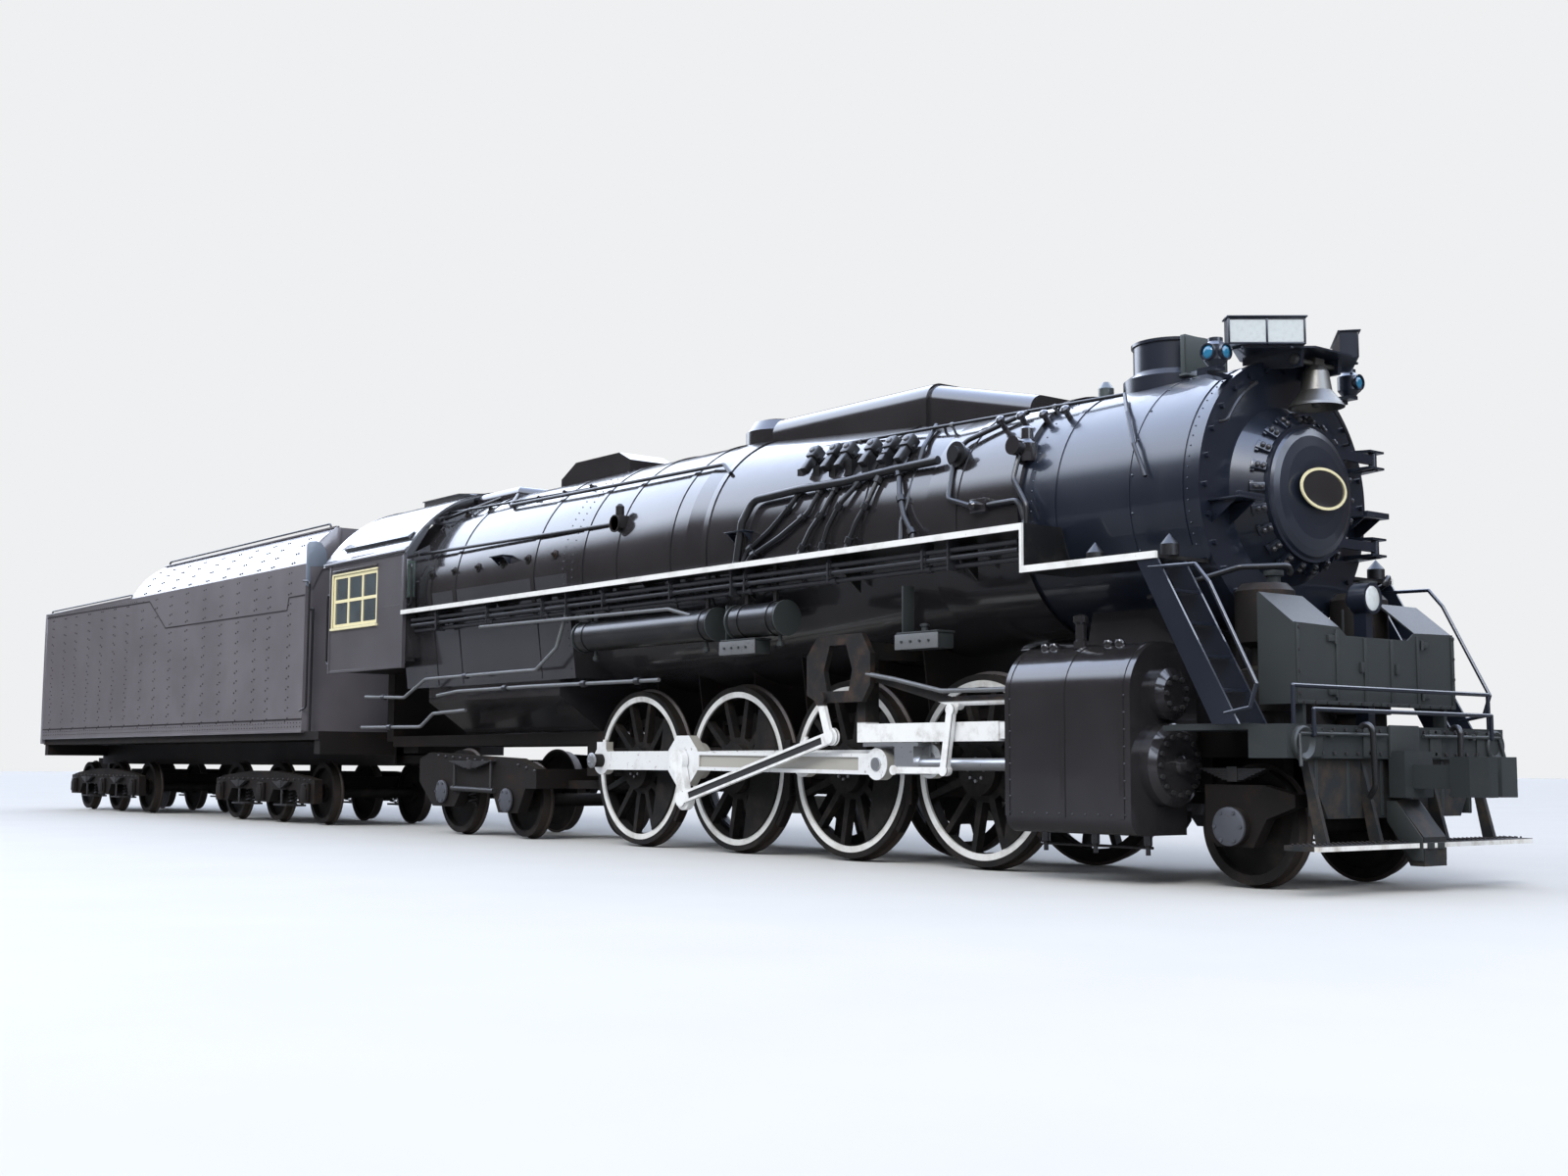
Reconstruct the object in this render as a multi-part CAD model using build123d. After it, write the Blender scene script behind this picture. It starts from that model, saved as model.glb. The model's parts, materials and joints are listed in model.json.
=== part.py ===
from build123d import *
import math
import os

# A two-eight-four steam locomotive with its twelve-wheel tender, at full size.
# Lengths are millimetres. X runs forward and is counted from the front driving axle, Y runs to the
# left-hand side, and Z runs up from the lowest point of the wheel flanges.
# Every piece is moved by SHIFT_X at the end, so that the middle of the coupler faces is X = 0.

# Wheels, axles and crank pins
FLANGE = 28.6
TREAD_WIDTH = 140
BACK_TO_BACK = 1356
DRIVER_R = 876.5
DRIVER_PITCH = 1854.2
DRIVER_HUB_R = 235
DRIVER_WINDOWS = 12
SMALL_R = 457.2
TRAILER_R = 546.1
AXLE_R = 130
SMALL_AXLE_R = 82
THROW = 432
CRANK_ANGLE_RIGHT = 169.3
QUARTERING = 90
PIN_R = 76
BIG_END_R = 290
SEAT_GAP = 0.3
RUN_GAP = 0.8

# Stations along the engine
LEAD_AXLE_X = 2960
TRAILER_AXLE_X = (-8140, -9842)
LEAD_PIVOT_X = 1250
LEAD_PIVOT_Z = (620, 756)
TRAILER_PIVOT_X = -6150
TRAILER_PIVOT_Z = (610, 790)
COUPLER_FRONT_X = 4620
COUPLER_REAR_X = -26620

# Frames
BED_Y = 480
BED_T = 140
BED_Z = (620, 1260)
BED_X = (-12250, 3420)
BED_REAR_X = -7000
BED_REAR_Z = (1180, 1330)
PIVOT_PIN_R = 46

# Cylinders and motion
CYL_Y = 1170
CYL_Z = 955
CYL_R = 430
CYL_X = (1080, 2430)
CASING_Y = 1600
CASING_Z = (400, 1940)
HEAD_R = 330
HEAD_T = 130
PISTON_ROD_R = 57
STROKE = 864
MAIN_ROD_L = 3150
SIDE_ROD_Y = (970, 1070)
SIDE_ROD_H = 210
MAIN_ROD_Y = (1115, 1225)
GUIDE_Y = (1085, 1255)
GUIDE_X = (-1224, 651)
GUIDE_Z = (1160, 1332)
GEAR_Y = (1290, 1350)
YOKE_Z = (1950, 2110)

# Boiler
BOILER_Z = 3184
SMOKEBOX_R = 1110
SMOKEBOX_T = 24
SMOKEBOX_X = (790, 2769)
BARREL_R = 1140
FIREBOX_R = 1390
CONE_X = (-400, -3900)
FIREBOX_X = (-10600, -6300)
MUD_RING_Z = 1950
MUD_RING_Y = 1240
DOOR_R = 565
DOOR_RING_R = 745
DOOR_RING_DEPTH = 205
DOOR_RISE = 80
DOOR_STRAPS = (370, -380)
DOOR_HINGE_Y = 895
CROWN_Z = BOILER_Z + FIREBOX_R

# Stack and domes
STACK_X = 1610
STACK_R = 345
STACK_TOP = BOILER_Z + SMOKEBOX_R + 381
STACK_LIP = (18, 26)
SAND_X = (-3620, -1150)
SAND_Y = 420
SAND_TOP = CROWN_Z + 186
SAND_NOSE_X = 230
STEAM_X = -4045
STEAM_R = 365
STEAM_TOP = CROWN_Z + 256
SAFETY_X = (-8190, -6580)
SAFETY_Y = 330
SAFETY_TOP = (CROWN_Z + 116, CROWN_Z + 236)
TURRET_Y = 520
TURRET_TOP = CROWN_Z + 66

# Cab
CAB_X = (-12450, -10130)
ROOF_OVERHANG = (180, 60)
TURRET_X = (CAB_X[1] + ROOF_OVERHANG[1] + 2, -8970)
CAB_Y = 1570
CAB_T = 40
CAB_FLOOR_Z = 2300
CAB_EAVES_Z = 3750
CAB_CROWN_Z = CROWN_Z + 100
WINDOW_X = (-12330, -10930)
WINDOW_Z = (2860, 3600)
HATCH_X = (-11750, -10750)
HATCH_Y = (-430, 430)
HATCH_HINGE_X = HATCH_X[1] + 45
HINGE_R = 14
HATCH_Z = CAB_CROWN_Z + 40

# Running boards
BOARD_Y = 1612
BOARD_T = 30
UPPER_BOARD_Z = 2925
LOWER_BOARD_Z = 2560
STEP_X = 1263
BOARD_FRONT_X = 2720
# Pipes hung under the upper board, each (y, z)
SIDE_PIPES = ((1500, 2840), (1500, 2770), (1440, 2700))
SIDE_PIPES_X = (-10000, 1150)
SIDE_PIPE_R = 24
LADDER_FOOT_X = 3370
LADDER_Y = (1240, 1572)
LADDER_T = 22
LIP_H = 52
LIP_T = 26
RESERVOIR_R = 170
RESERVOIR_Y = 1380
RESERVOIR_Z = 2400
RESERVOIR_X = ((-5900, -3300), (-2950, -2150))

# Front end
BELL_PIVOT = (3090, 0, BOILER_Z + SMOKEBOX_R - 44)
YOKE_TOP = BELL_PIVOT[2] + 69
NUMBER_BOX_Z = (YOKE_TOP + 16, YOKE_TOP + 236)
NUMBER_BOX_X = 3000
NUMBER_BOX_Y = 550
NUMBER_BOX_ANGLE = 40
BEAM_X = (3450, 3790)
BEAM_Y = 1470
BEAM_Z = (1010, 1260)
DECK_REAR_X = 2650
SHIELD_X = 3600
SHIELD_Y = 1075
SHIELD_Z = (1420, 2035)
LAMP_Z = BOILER_Z + SMOKEBOX_R - 37
PUMP_X = 3010
HEADLIGHT_X = 3570
HEADLIGHT_Z = 2280
HEADLIGHT_R = 125
PUMP_Y = 640
FOOTBOARD_X = (3730, 4030)
FOOTBOARD_Y = (180, 1450)
FOOTBOARD_Z = 380

# Tender
TENDER_X = (-25900, -12780)
TANK_X = (-25900, -13250)
TANK_Y = 1600
TANK_Z = (1400, 3870)
BUNKER_X = (-20550, -13250)
COAL_X = (-19700, -17400)
COAL_FLOOR_Z = 2350
BUNKER_TOP = 4450
BUNKER_SLOPE = 350
BUNKER_WALL_Y = 1050
WELL_X = (-24200, -23300)
WELL_Y = 400
WELL_RIM = 60
WELL_DEPTH = 900
TENDER_TRUCK_X = (-15900, -23600)
TENDER_AXLE_PITCH = 1700
ENGINE_PIN_X = -11900
TENDER_PIN_X = -13300
DRAWBAR_Z = 1000

SHIFT_X = -(COUPLER_FRONT_X + COUPLER_REAR_X) / 2
WHEEL_FACE_Y = BACK_TO_BACK / 2 + TREAD_WIDTH
DRIVER_Z = FLANGE + DRIVER_R
SMALL_Z = FLANGE + SMALL_R
TRAILER_Z = FLANGE + TRAILER_R
TRUCK_TOP = SMALL_Z + 420
DRIVER_X = [-i * DRIVER_PITCH for i in range(4)]
MAIN = 2
RIGHT, LEFT = -1, 1


# Shapes that many pieces share

def block(x, y, z):
    """Box from three (low, high) pairs."""
    size = [b - a for a, b in (x, y, z)]
    mid = [(a + b) / 2 for a, b in (x, y, z)]
    return Pos(*mid) * Box(*size)


def both(shape):
    """A left-hand shape and its right-hand twin."""
    return [shape, mirror(shape, Plane.XZ)]


def outline(points):
    return make_face(Polyline(*points, close=True))


def slab_y(points, y):
    """Plate with an (x, z) outline, from y[0] to y[1]."""
    return Pos(0, y[1], 0) * Rot(90, 0, 0) * extrude(outline(points), y[1] - y[0])


def slab_x(points, x):
    """Plate with a (y, z) outline, from x[0] to x[1]."""
    return extrude(Plane.YZ.offset(x[0]) * outline(points), x[1] - x[0])


def slab_z(points, z):
    """Plate with an (x, y) outline, from z[0] to z[1]."""
    return Pos(0, 0, z[0]) * extrude(outline(points), z[1] - z[0])


def turned_x(points, y, z):
    """Solid turned about an axis along X, from (x, radius) points."""
    return Pos(0, y, z) * revolve(outline(points), Axis.X)


def turned_y(points):
    """Solid turned about the Y axis, from (radius, y) points."""
    return revolve(outline(points), Axis.Y)


def turned_z(points, x, y):
    """Solid turned about an upright axis, from (radius, z) points."""
    return Pos(x, y, 0) * Rot(90, 0, 0) * revolve(outline(points), Axis.Y)


def rod(start, end, radius):
    """Round bar between two points."""
    a = Vector(*start)
    b = Vector(*end)
    return Solid.make_cylinder(radius, (b - a).length, Plane(origin=a, z_dir=b - a))


def rail(points, radius):
    """Round bars joined at their corners, as one solid."""
    result = rod(points[0], points[1], radius)
    for a, b in zip(points[1:], points[2:]):
        result = result + Pos(*a) * Sphere(radius) + rod(a, b, radius)
    return result


def link(a, b, height, y, eye):
    """Flat rod between two (x, z) eyes."""
    dx = b[0] - a[0]
    dz = b[1] - a[1]
    length = math.hypot(dx, dz)
    nx = -dz / length * height / 2
    nz = dx / length * height / 2
    bar = slab_y([(a[0] + nx, a[1] + nz), (b[0] + nx, b[1] + nz),
                  (b[0] - nx, b[1] - nz), (a[0] - nx, a[1] - nz)], y)
    ends = [rod((p[0], y[0], p[1]), (p[0], y[1], p[1]), eye) for p in (a, b)]
    return bar + ends[0] + ends[1]


# Wheels

def crank(side):
    """Direction of a side's crank, as an angle from X towards Z."""
    angle = CRANK_ANGLE_RIGHT if side == RIGHT else CRANK_ANGLE_RIGHT + QUARTERING
    return math.radians(angle)


def pin_at(axle, side):
    """Centre of a driver's crank pin, as (x, z)."""
    a = crank(side)
    return (DRIVER_X[axle] + THROW * math.cos(a), DRIVER_Z + THROW * math.sin(a))


def tyre_points(radius, rim, inner, outer):
    """Rim section with its flange, from the bore at rim out to the tread."""
    back = BACK_TO_BACK / 2
    return [(rim, inner), (rim, back), (radius + FLANGE, back), (radius + FLANGE, back + 20),
            (radius, back + 36), (radius, WHEEL_FACE_Y), (rim, WHEEL_FACE_Y), (rim, outer)]


def small_wheel(radius, axle_r):
    """Rolled wheel with a dished plate, on the left."""
    back = BACK_TO_BACK / 2
    rim = radius - 75
    hub = axle_r + 62
    points = [(axle_r + SEAT_GAP, back - 20), (hub, back - 20), (hub, back + 45)]
    points += tyre_points(radius, rim, back + 30, back + 62)
    points += [(hub, back + 90), (hub, back + 150), (axle_r + SEAT_GAP, back + 150)]
    return turned_y(points)


def driver_wheel(main):
    """Spoked wheel on the left, with its crank boss towards +X and its balance weight opposite."""
    back = BACK_TO_BACK / 2
    rim = DRIVER_R - 118
    web = (back + 20, back + 108)
    hub_r = DRIVER_HUB_R + (35 if main else 0)
    points = [(AXLE_R + SEAT_GAP, web[0]), (rim, web[0])]
    points += tyre_points(DRIVER_R, rim, web[0], web[1])[1:-1]
    points += [(rim, web[1]), (hub_r, web[1]), (hub_r, WHEEL_FACE_Y + 62), (AXLE_R + SEAT_GAP, WHEEL_FACE_Y + 62)]
    wheel = turned_y(points)
    inner = hub_r + 60
    outer = rim - 12
    half_in = math.pi * inner / DRIVER_WINDOWS - 38
    half_out = math.pi * outer / DRIVER_WINDOWS - 26
    window = slab_y([(inner, -half_in), (outer, -half_out), (outer, half_out), (inner, half_in)],
                    (web[0] - 5, web[1] + 5))
    for i in range(DRIVER_WINDOWS):
        wheel = wheel - Rot(0, 360 / DRIVER_WINDOWS * (i + 0.5), 0) * window
    wheel = wheel + rod((THROW, web[0], 0), (THROW, WHEEL_FACE_Y + 112, 0), PIN_R + 70)
    depth = 640 if main else 520
    disc = rod((0, web[0] + 10, 0), (0, WHEEL_FACE_Y + 30, 0), rim - 5)
    weight = disc & block((-rim, -rim + depth - 180), (0, 2 * back), (-rim, rim))
    return wheel + weight


def wheelset(name, x, radius, axle_r, journal_y):
    """Two small wheels and their axle."""
    z = FLANGE + radius
    wheels = [Pos(x, 0, z) * w for w in both(small_wheel(radius, axle_r))]
    axle = rod((x, -journal_y, z), (x, journal_y, z), axle_r)
    add(name, *wheels, axle)


def driver_wheelset(i):
    main = i == MAIN
    solids = []
    for side in (LEFT, RIGHT):
        wheel = driver_wheel(main)
        if side == RIGHT:
            wheel = mirror(wheel, Plane.XZ)
        turn = Rot(0, -math.degrees(crank(side)), 0)
        solids.append(Pos(DRIVER_X[i], 0, DRIVER_Z) * turn * wheel)
        px, pz = pin_at(i, side)
        boss = WHEEL_FACE_Y + 112
        tip = MAIN_ROD_Y[1] - 30 if i == 3 else SIDE_ROD_Y[1] + 6
        pin = rod((px, side * (boss + SEAT_GAP), pz), (px, side * tip, pz), PIN_R)
        solids.append(pin)
    face = WHEEL_FACE_Y + 62
    solids.append(rod((DRIVER_X[i], -face, DRIVER_Z), (DRIVER_X[i], face, DRIVER_Z), AXLE_R))
    add("driver_wheelset_%d" % (i + 1), *solids)


NODES = {}


def add(name, *shapes):
    NODES.setdefault(name, []).extend(shapes)


# Engine frame

def engine_bed():
    low, high = BED_Z
    y = (BED_Y, BED_Y + BED_T)
    side = block((BED_REAR_X, BED_X[1]), y, (low + 180, high))
    side = side + block((BED_X[0], BED_REAR_X + 400), y, BED_REAR_Z)
    for x in DRIVER_X:
        side = side + block((x - 330, x + 330), y, (low, high))
    for x in DRIVER_X:
        side = side - rod((x, 0, DRIVER_Z), (x, 2 * BED_Y, DRIVER_Z), AXLE_R + RUN_GAP)
    for x in DRIVER_X[:3]:
        mid = x - DRIVER_PITCH / 2
        side = side - block((mid - 420, mid + 420), (0, 2 * BED_Y), (DRIVER_Z + 35, high - 110))
    side = side - block((LEAD_AXLE_X - 620, BED_X[1] + 9), (0, 2 * BED_Y), (0, SMALL_Z + SMALL_R + 75))
    bed = side + mirror(side, Plane.XZ)
    half = BED_Y + 20
    for x in (3000, 1700, -927, -2781, -4636, -6500):
        bed = bed + block((x - 130, x + 130), (-half, half), (high - 170, high))
    bed = bed + block((-11030, -10770), (-half, half), BED_REAR_Z)
    bed = bed + block((ENGINE_PIN_X - 250, ENGINE_PIN_X + 200), (-half, half), (BED_REAR_Z[0] - 90, BED_REAR_Z[1]))
    bed = bed + rod((ENGINE_PIN_X, 0, DRAWBAR_Z - 90), (ENGINE_PIN_X, 0, BED_REAR_Z[0]), PIVOT_PIN_R)
    for x, z in ((LEAD_PIVOT_X, LEAD_PIVOT_Z[1]), (TRAILER_PIVOT_X, TRAILER_PIVOT_Z[1])):
        bed = bed + block((x - 140, x + 140), (-half, half), (z + SEAT_GAP, low + 300))
        bed = bed + rod((x, 0, z - 120), (x, 0, z + 9), PIVOT_PIN_R)
    for x in DRIVER_X:
        for s in (-1, 1):
            y = tuple(sorted((s * 500, s * 600)))
            leaves = slab_y([(x - 560, high + 120), (x + 560, high + 120), (x + 560, high + 150), (x + 220, high + 215),
                             (x - 220, high + 215), (x - 560, high + 150)], y)
            leaves = leaves + block((x - 70, x + 70), y, (high - 9, high + 240))
            for end in (-530, 530):
                leaves = leaves + block((x + end - 20, x + end + 20), y, (high - 9, high + 175))
            bed = bed + leaves
    reach = (BED_X[0] - 999, BED_X[1] + 999)
    for span in ((-2 * half, -BED_Y), (-BED_Y, BED_Y), (BED_Y, 2 * half)):
        add("engine_bed", bed & block(reach, span, (0, BOILER_Z)))


def waist_sheets():
    """Plates that carry the barrel on the bed between the driving axles."""
    for i in range(3):
        x = DRIVER_X[i] - DRIVER_PITCH / 2
        sheet = slab_x([(-560, BED_Z[1]), (560, BED_Z[1]), (720, BOILER_Z - 800), (-720, BOILER_Z - 800)],
                       (x - 9, x + 9))
        add("engine_bed", sheet - NODES["boiler_barrel"][0])


def brake_rigging():
    """A hung shoe ahead of each driving wheel."""
    pin_z = BED_Z[1] - 110
    for axle in DRIVER_X:
        x = axle + DRIVER_PITCH / 2
        for s in (-1, 1):
            inner = DRIVER_R + 9
            arc = [math.radians(-4 - 6 * i) for i in range(7)]
            outline_in = [(axle + inner * math.cos(t), DRIVER_Z + inner * math.sin(t)) for t in arc]
            outline_out = [(axle + (inner + 52) * math.cos(t), DRIVER_Z + (inner + 52) * math.sin(t)) for t in arc]
            shoe = slab_y(outline_in + outline_out[::-1], tuple(sorted((s * 722, s * 812))))
            face = WHEEL_FACE_Y + 9
            hanger = slab_y([(x - 40, pin_z + 50), (x + 40, pin_z + 50), (x + 30, DRIVER_Z - 330),
                             (x - 60, DRIVER_Z - 330)], tuple(sorted((s * face, s * (face + 30)))))
            foot = rod((x - 10, s * 760, DRIVER_Z - 240), (x - 10, s * (face + 30), DRIVER_Z - 240), 34)
            pin = rod((x, s * (BED_Y + BED_T), pin_z), (x, s * (face + 30), pin_z), 24)
            add("brake_rigging", shoe + foot + hanger + pin)


# Cylinders

def cylinders():
    x0, x1 = CYL_X
    z0, z1 = CASING_Z
    top_r = 420
    edge = CASING_Y
    inner = CYL_Y - CYL_R + 40
    section = make_face(
        Polyline((inner, z0 + 110), (inner + 110, z0), (edge - 130, z0))
        + ThreePointArc((edge - 130, z0), (edge - 38, z0 + 38), (edge, z0 + 130))
        + Line((edge, z0 + 130), (edge, z1 - top_r))
        + ThreePointArc((edge, z1 - top_r), (edge - top_r * 0.293, z1 - top_r * 0.293), (edge - top_r, z1))
        + Polyline((edge - top_r, z1), (inner, z1 - 40), (inner, z0 + 110)))
    casing = extrude(Plane.YZ.offset(x0) * section, x1 - x0)
    casing = casing - rod((x0 - 9, CYL_Y, CYL_Z), (x0 + STROKE + 260, CYL_Y, CYL_Z), PISTON_ROD_R + RUN_GAP)
    casing = casing - block((x1 - 70, x1 + 9), (inner - 9, WHEEL_FACE_Y + 112), (z0 - 9, z0 + 600))
    head = turned_x([(x1, 0), (x1, HEAD_R), (x1 + HEAD_T - 40, HEAD_R), (x1 + HEAD_T, HEAD_R - 60), (x1 + HEAD_T, 0)],
                    CYL_Y, CYL_Z)
    valve = turned_x([(x1, 0), (x1, 210), (x1 + 70, 210), (x1 + 110, 150), (x1 + 110, 0)], CYL_Y, z1 - top_r)
    gland = turned_x([(x0 - 110, PISTON_ROD_R + RUN_GAP), (x0 - 110, 120), (x0 - 60, 200), (x0, 200),
                      (x0, PISTON_ROD_R + RUN_GAP)], CYL_Y, CYL_Z)
    half = casing + head + valve + gland
    saddle = slab_x([(-inner, 1180), (inner, 1180), (inner, 1780), (720, 1900), (620, 2340), (-620, 2340),
                     (-720, 1900), (-inner, 1780)], (x0 + 120, x1 - 200))
    saddle = saddle - block((x0 - 9, x1 + 9), (-BED_Y - BED_T, BED_Y + BED_T), (0, BED_Z[1]))
    saddle = saddle - rod((x0, 0, BOILER_Z), (x1, 0, BOILER_Z), SMOKEBOX_R)
    add("cylinder_casting", half + mirror(half, Plane.XZ) + saddle)


# Boiler

def boiler():
    front, rear = CONE_X
    x0, x1 = FIREBOX_X
    barrel = turned_x([(SMOKEBOX_X[0], 0), (SMOKEBOX_X[0], BARREL_R), (front, BARREL_R), (rear, FIREBOX_R),
                       (x1, FIREBOX_R), (x1, 0)], 0, BOILER_Z)
    add("boiler_barrel", barrel)
    r = FIREBOX_R
    z = BOILER_Z
    section = make_face(
        ThreePointArc((r, z), (0, z + r), (-r, z))
        + Polyline((-r, z), (-MUD_RING_Y - 60, MUD_RING_Z + 500), (-MUD_RING_Y, MUD_RING_Z),
                   (MUD_RING_Y, MUD_RING_Z), (MUD_RING_Y + 60, MUD_RING_Z + 500), (r, z)))
    shell = extrude(Plane.YZ.offset(x0) * section, x1 - x0)
    hopper = slab_x([(-MUD_RING_Y + 40, MUD_RING_Z), (-MUD_RING_Y + 40, 1760), (-600, 1345), (600, 1345),
                     (MUD_RING_Y - 40, 1760), (MUD_RING_Y - 40, MUD_RING_Z)], (x0 + 550, x1 - 420))
    add("firebox_shell", shell + hopper)


def smokebox():
    rear, front = SMOKEBOX_X
    r = SMOKEBOX_R
    lip = front + DOOR_RING_DEPTH
    wall = turned_x([(rear, r - SMOKEBOX_T), (rear, r), (front - 60, r), (front - 60, r - SMOKEBOX_T)], 0, BOILER_Z)
    bore = rod((STACK_X, 0, BOILER_Z), (STACK_X, 0, BOILER_Z + 2 * r), STACK_R - 60)
    shell = turned_x([(front - 60, r - SMOKEBOX_T), (front - 60, r + 22), (front, r + 22), (front, DOOR_RING_R),
                      (lip, DOOR_R), (lip, DOOR_R - 45), (front - 30, DOOR_RING_R - 45),
                      (front - 30, r - SMOKEBOX_T)], 0, BOILER_Z)
    face = lip + SEAT_GAP
    turns = [math.radians(15 * i) for i in range(6)]
    dome = [(face + 42 + DOOR_RISE * math.sin(t), (DOOR_R - 20) * math.cos(t)) for t in turns]
    door = turned_x([(face, 0), (face, DOOR_R + 8), (face + 42, DOOR_R + 8)] + dome
                    + [(face + 42 + DOOR_RISE, 0)], 0, BOILER_Z)
    hinge_x, hinge_y = door_hinge()
    for z in (BOILER_Z + DOOR_STRAPS[0], BOILER_Z + DOOR_STRAPS[1]):
        strap = block((face + 20, face + 60), (DOOR_R - 260, hinge_y), (z - 40, z + 40))
        barrel = rod((hinge_x, hinge_y, z - 55), (hinge_x, hinge_y, z + 55), 34)
        pin = rod((hinge_x, hinge_y, z - 95), (hinge_x, hinge_y, z + 56), 16)
        door = door + strap + barrel - rod((hinge_x, hinge_y, z - 99), (hinge_x, hinge_y, z + 99), 17)
        lug = block((front - 9, hinge_x + 30), (hinge_y - 30, hinge_y + 30), (z - 95, z - 57))
        shell = shell + lug + pin
    wall = wall - bore
    add("smokebox_shell", shell)
    for a, b in ((rear, STACK_X - 410), (STACK_X - 410, STACK_X + 410), (STACK_X + 410, front - 60)):
        for s in (-1, 1):
            add("smokebox_shell", wall & block((a, b), tuple(sorted((0, s * 2 * r))), (0, 2 * BOILER_Z)))
    add("smokebox_door", door)


def door_hinge():
    """Upright hinge line of the smokebox door, as (x, y)."""
    return SMOKEBOX_X[1] + DOOR_RING_DEPTH + 40, DOOR_HINGE_Y


def stack_and_domes():
    seat = rod((SMOKEBOX_X[0], 0, BOILER_Z), (SMOKEBOX_X[1], 0, BOILER_Z), SMOKEBOX_R)
    foot = BOILER_Z + SMOKEBOX_R - 120
    bore = STACK_R - 60
    top = STACK_TOP - STACK_LIP[1]
    base = turned_z([(bore, foot), (STACK_R + 90, foot), (STACK_R + 90, foot + 165), (STACK_R, foot + 230),
                     (bore, foot + 230)], STACK_X, 0) - seat
    tube = turned_z([(bore, foot + 230), (STACK_R, foot + 230), (STACK_R, top), (bore, top)], STACK_X, 0)
    lip = STACK_R + STACK_LIP[0]
    cap = turned_z([(bore, top), (lip, top), (lip, STACK_TOP), (bore, STACK_TOP)], STACK_X, 0)
    reach = 2 * STACK_R
    for ring in (base, tube, cap):
        for a, b in ((-reach, 0), (0, reach)):
            half = ring & block((STACK_X + a, STACK_X + b), (-reach, reach), (0, STACK_TOP + reach))
            add("smokestack", half)
    barrel = NODES["boiler_barrel"][0]
    dome_foot = CROWN_Z - 274
    x0, x1 = SAND_X
    body = block((x0, x1), (-SAND_Y, SAND_Y), (BOILER_Z + 700, SAND_TOP))
    body = fillet(body.edges().filter_by(Axis.X).group_by(Axis.Z)[-1], 210)
    nose = slab_y([(x1, BOILER_Z + 700), (SAND_NOSE_X, BOILER_Z + 700), (SAND_NOSE_X, SAND_TOP - 340),
                   (x1, SAND_TOP - 20)], (-SAND_Y + 40, SAND_Y - 40))
    nose = fillet(nose.edges().filter_by(Plane.XZ).group_by(Axis.Z)[-1], 170)
    add("sand_dome", body + nose - barrel)
    steam = turned_z([(0, dome_foot), (STEAM_R, dome_foot), (STEAM_R, STEAM_TOP - 150), (STEAM_R - 90, STEAM_TOP - 30),
                      (STEAM_R - 200, STEAM_TOP), (0, STEAM_TOP)], STEAM_X, 0)
    shell = rod((FIREBOX_X[0], 0, BOILER_Z), (CONE_X[1], 0, BOILER_Z), FIREBOX_R)
    steam = steam - shell - barrel
    s0, s1 = SAFETY_X
    safety = slab_y([(s0, dome_foot), (s1, dome_foot), (s1, SAFETY_TOP[0]), (s1 - 250, SAFETY_TOP[1]),
                     (s0 + 350, SAFETY_TOP[1]), (s0, SAFETY_TOP[0] - 60)], (-SAFETY_Y, SAFETY_Y)) - shell
    t0, t1 = TURRET_X
    turret = block((t0, t1), (-TURRET_Y, TURRET_Y), (dome_foot - 100, TURRET_TOP))
    turret = fillet(turret.edges().group_by(Axis.Z)[-1], 120) - shell
    add("steam_dome_and_turrets", steam, safety, turret)


# Cab

def roof_arc(y, z):
    """Radius and centre height of the arc through the eaves (y, z) and the crown."""
    rise = CAB_CROWN_Z - z
    radius = (y * y + rise * rise) / (2 * rise)
    return radius, CAB_CROWN_Z - radius


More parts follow.
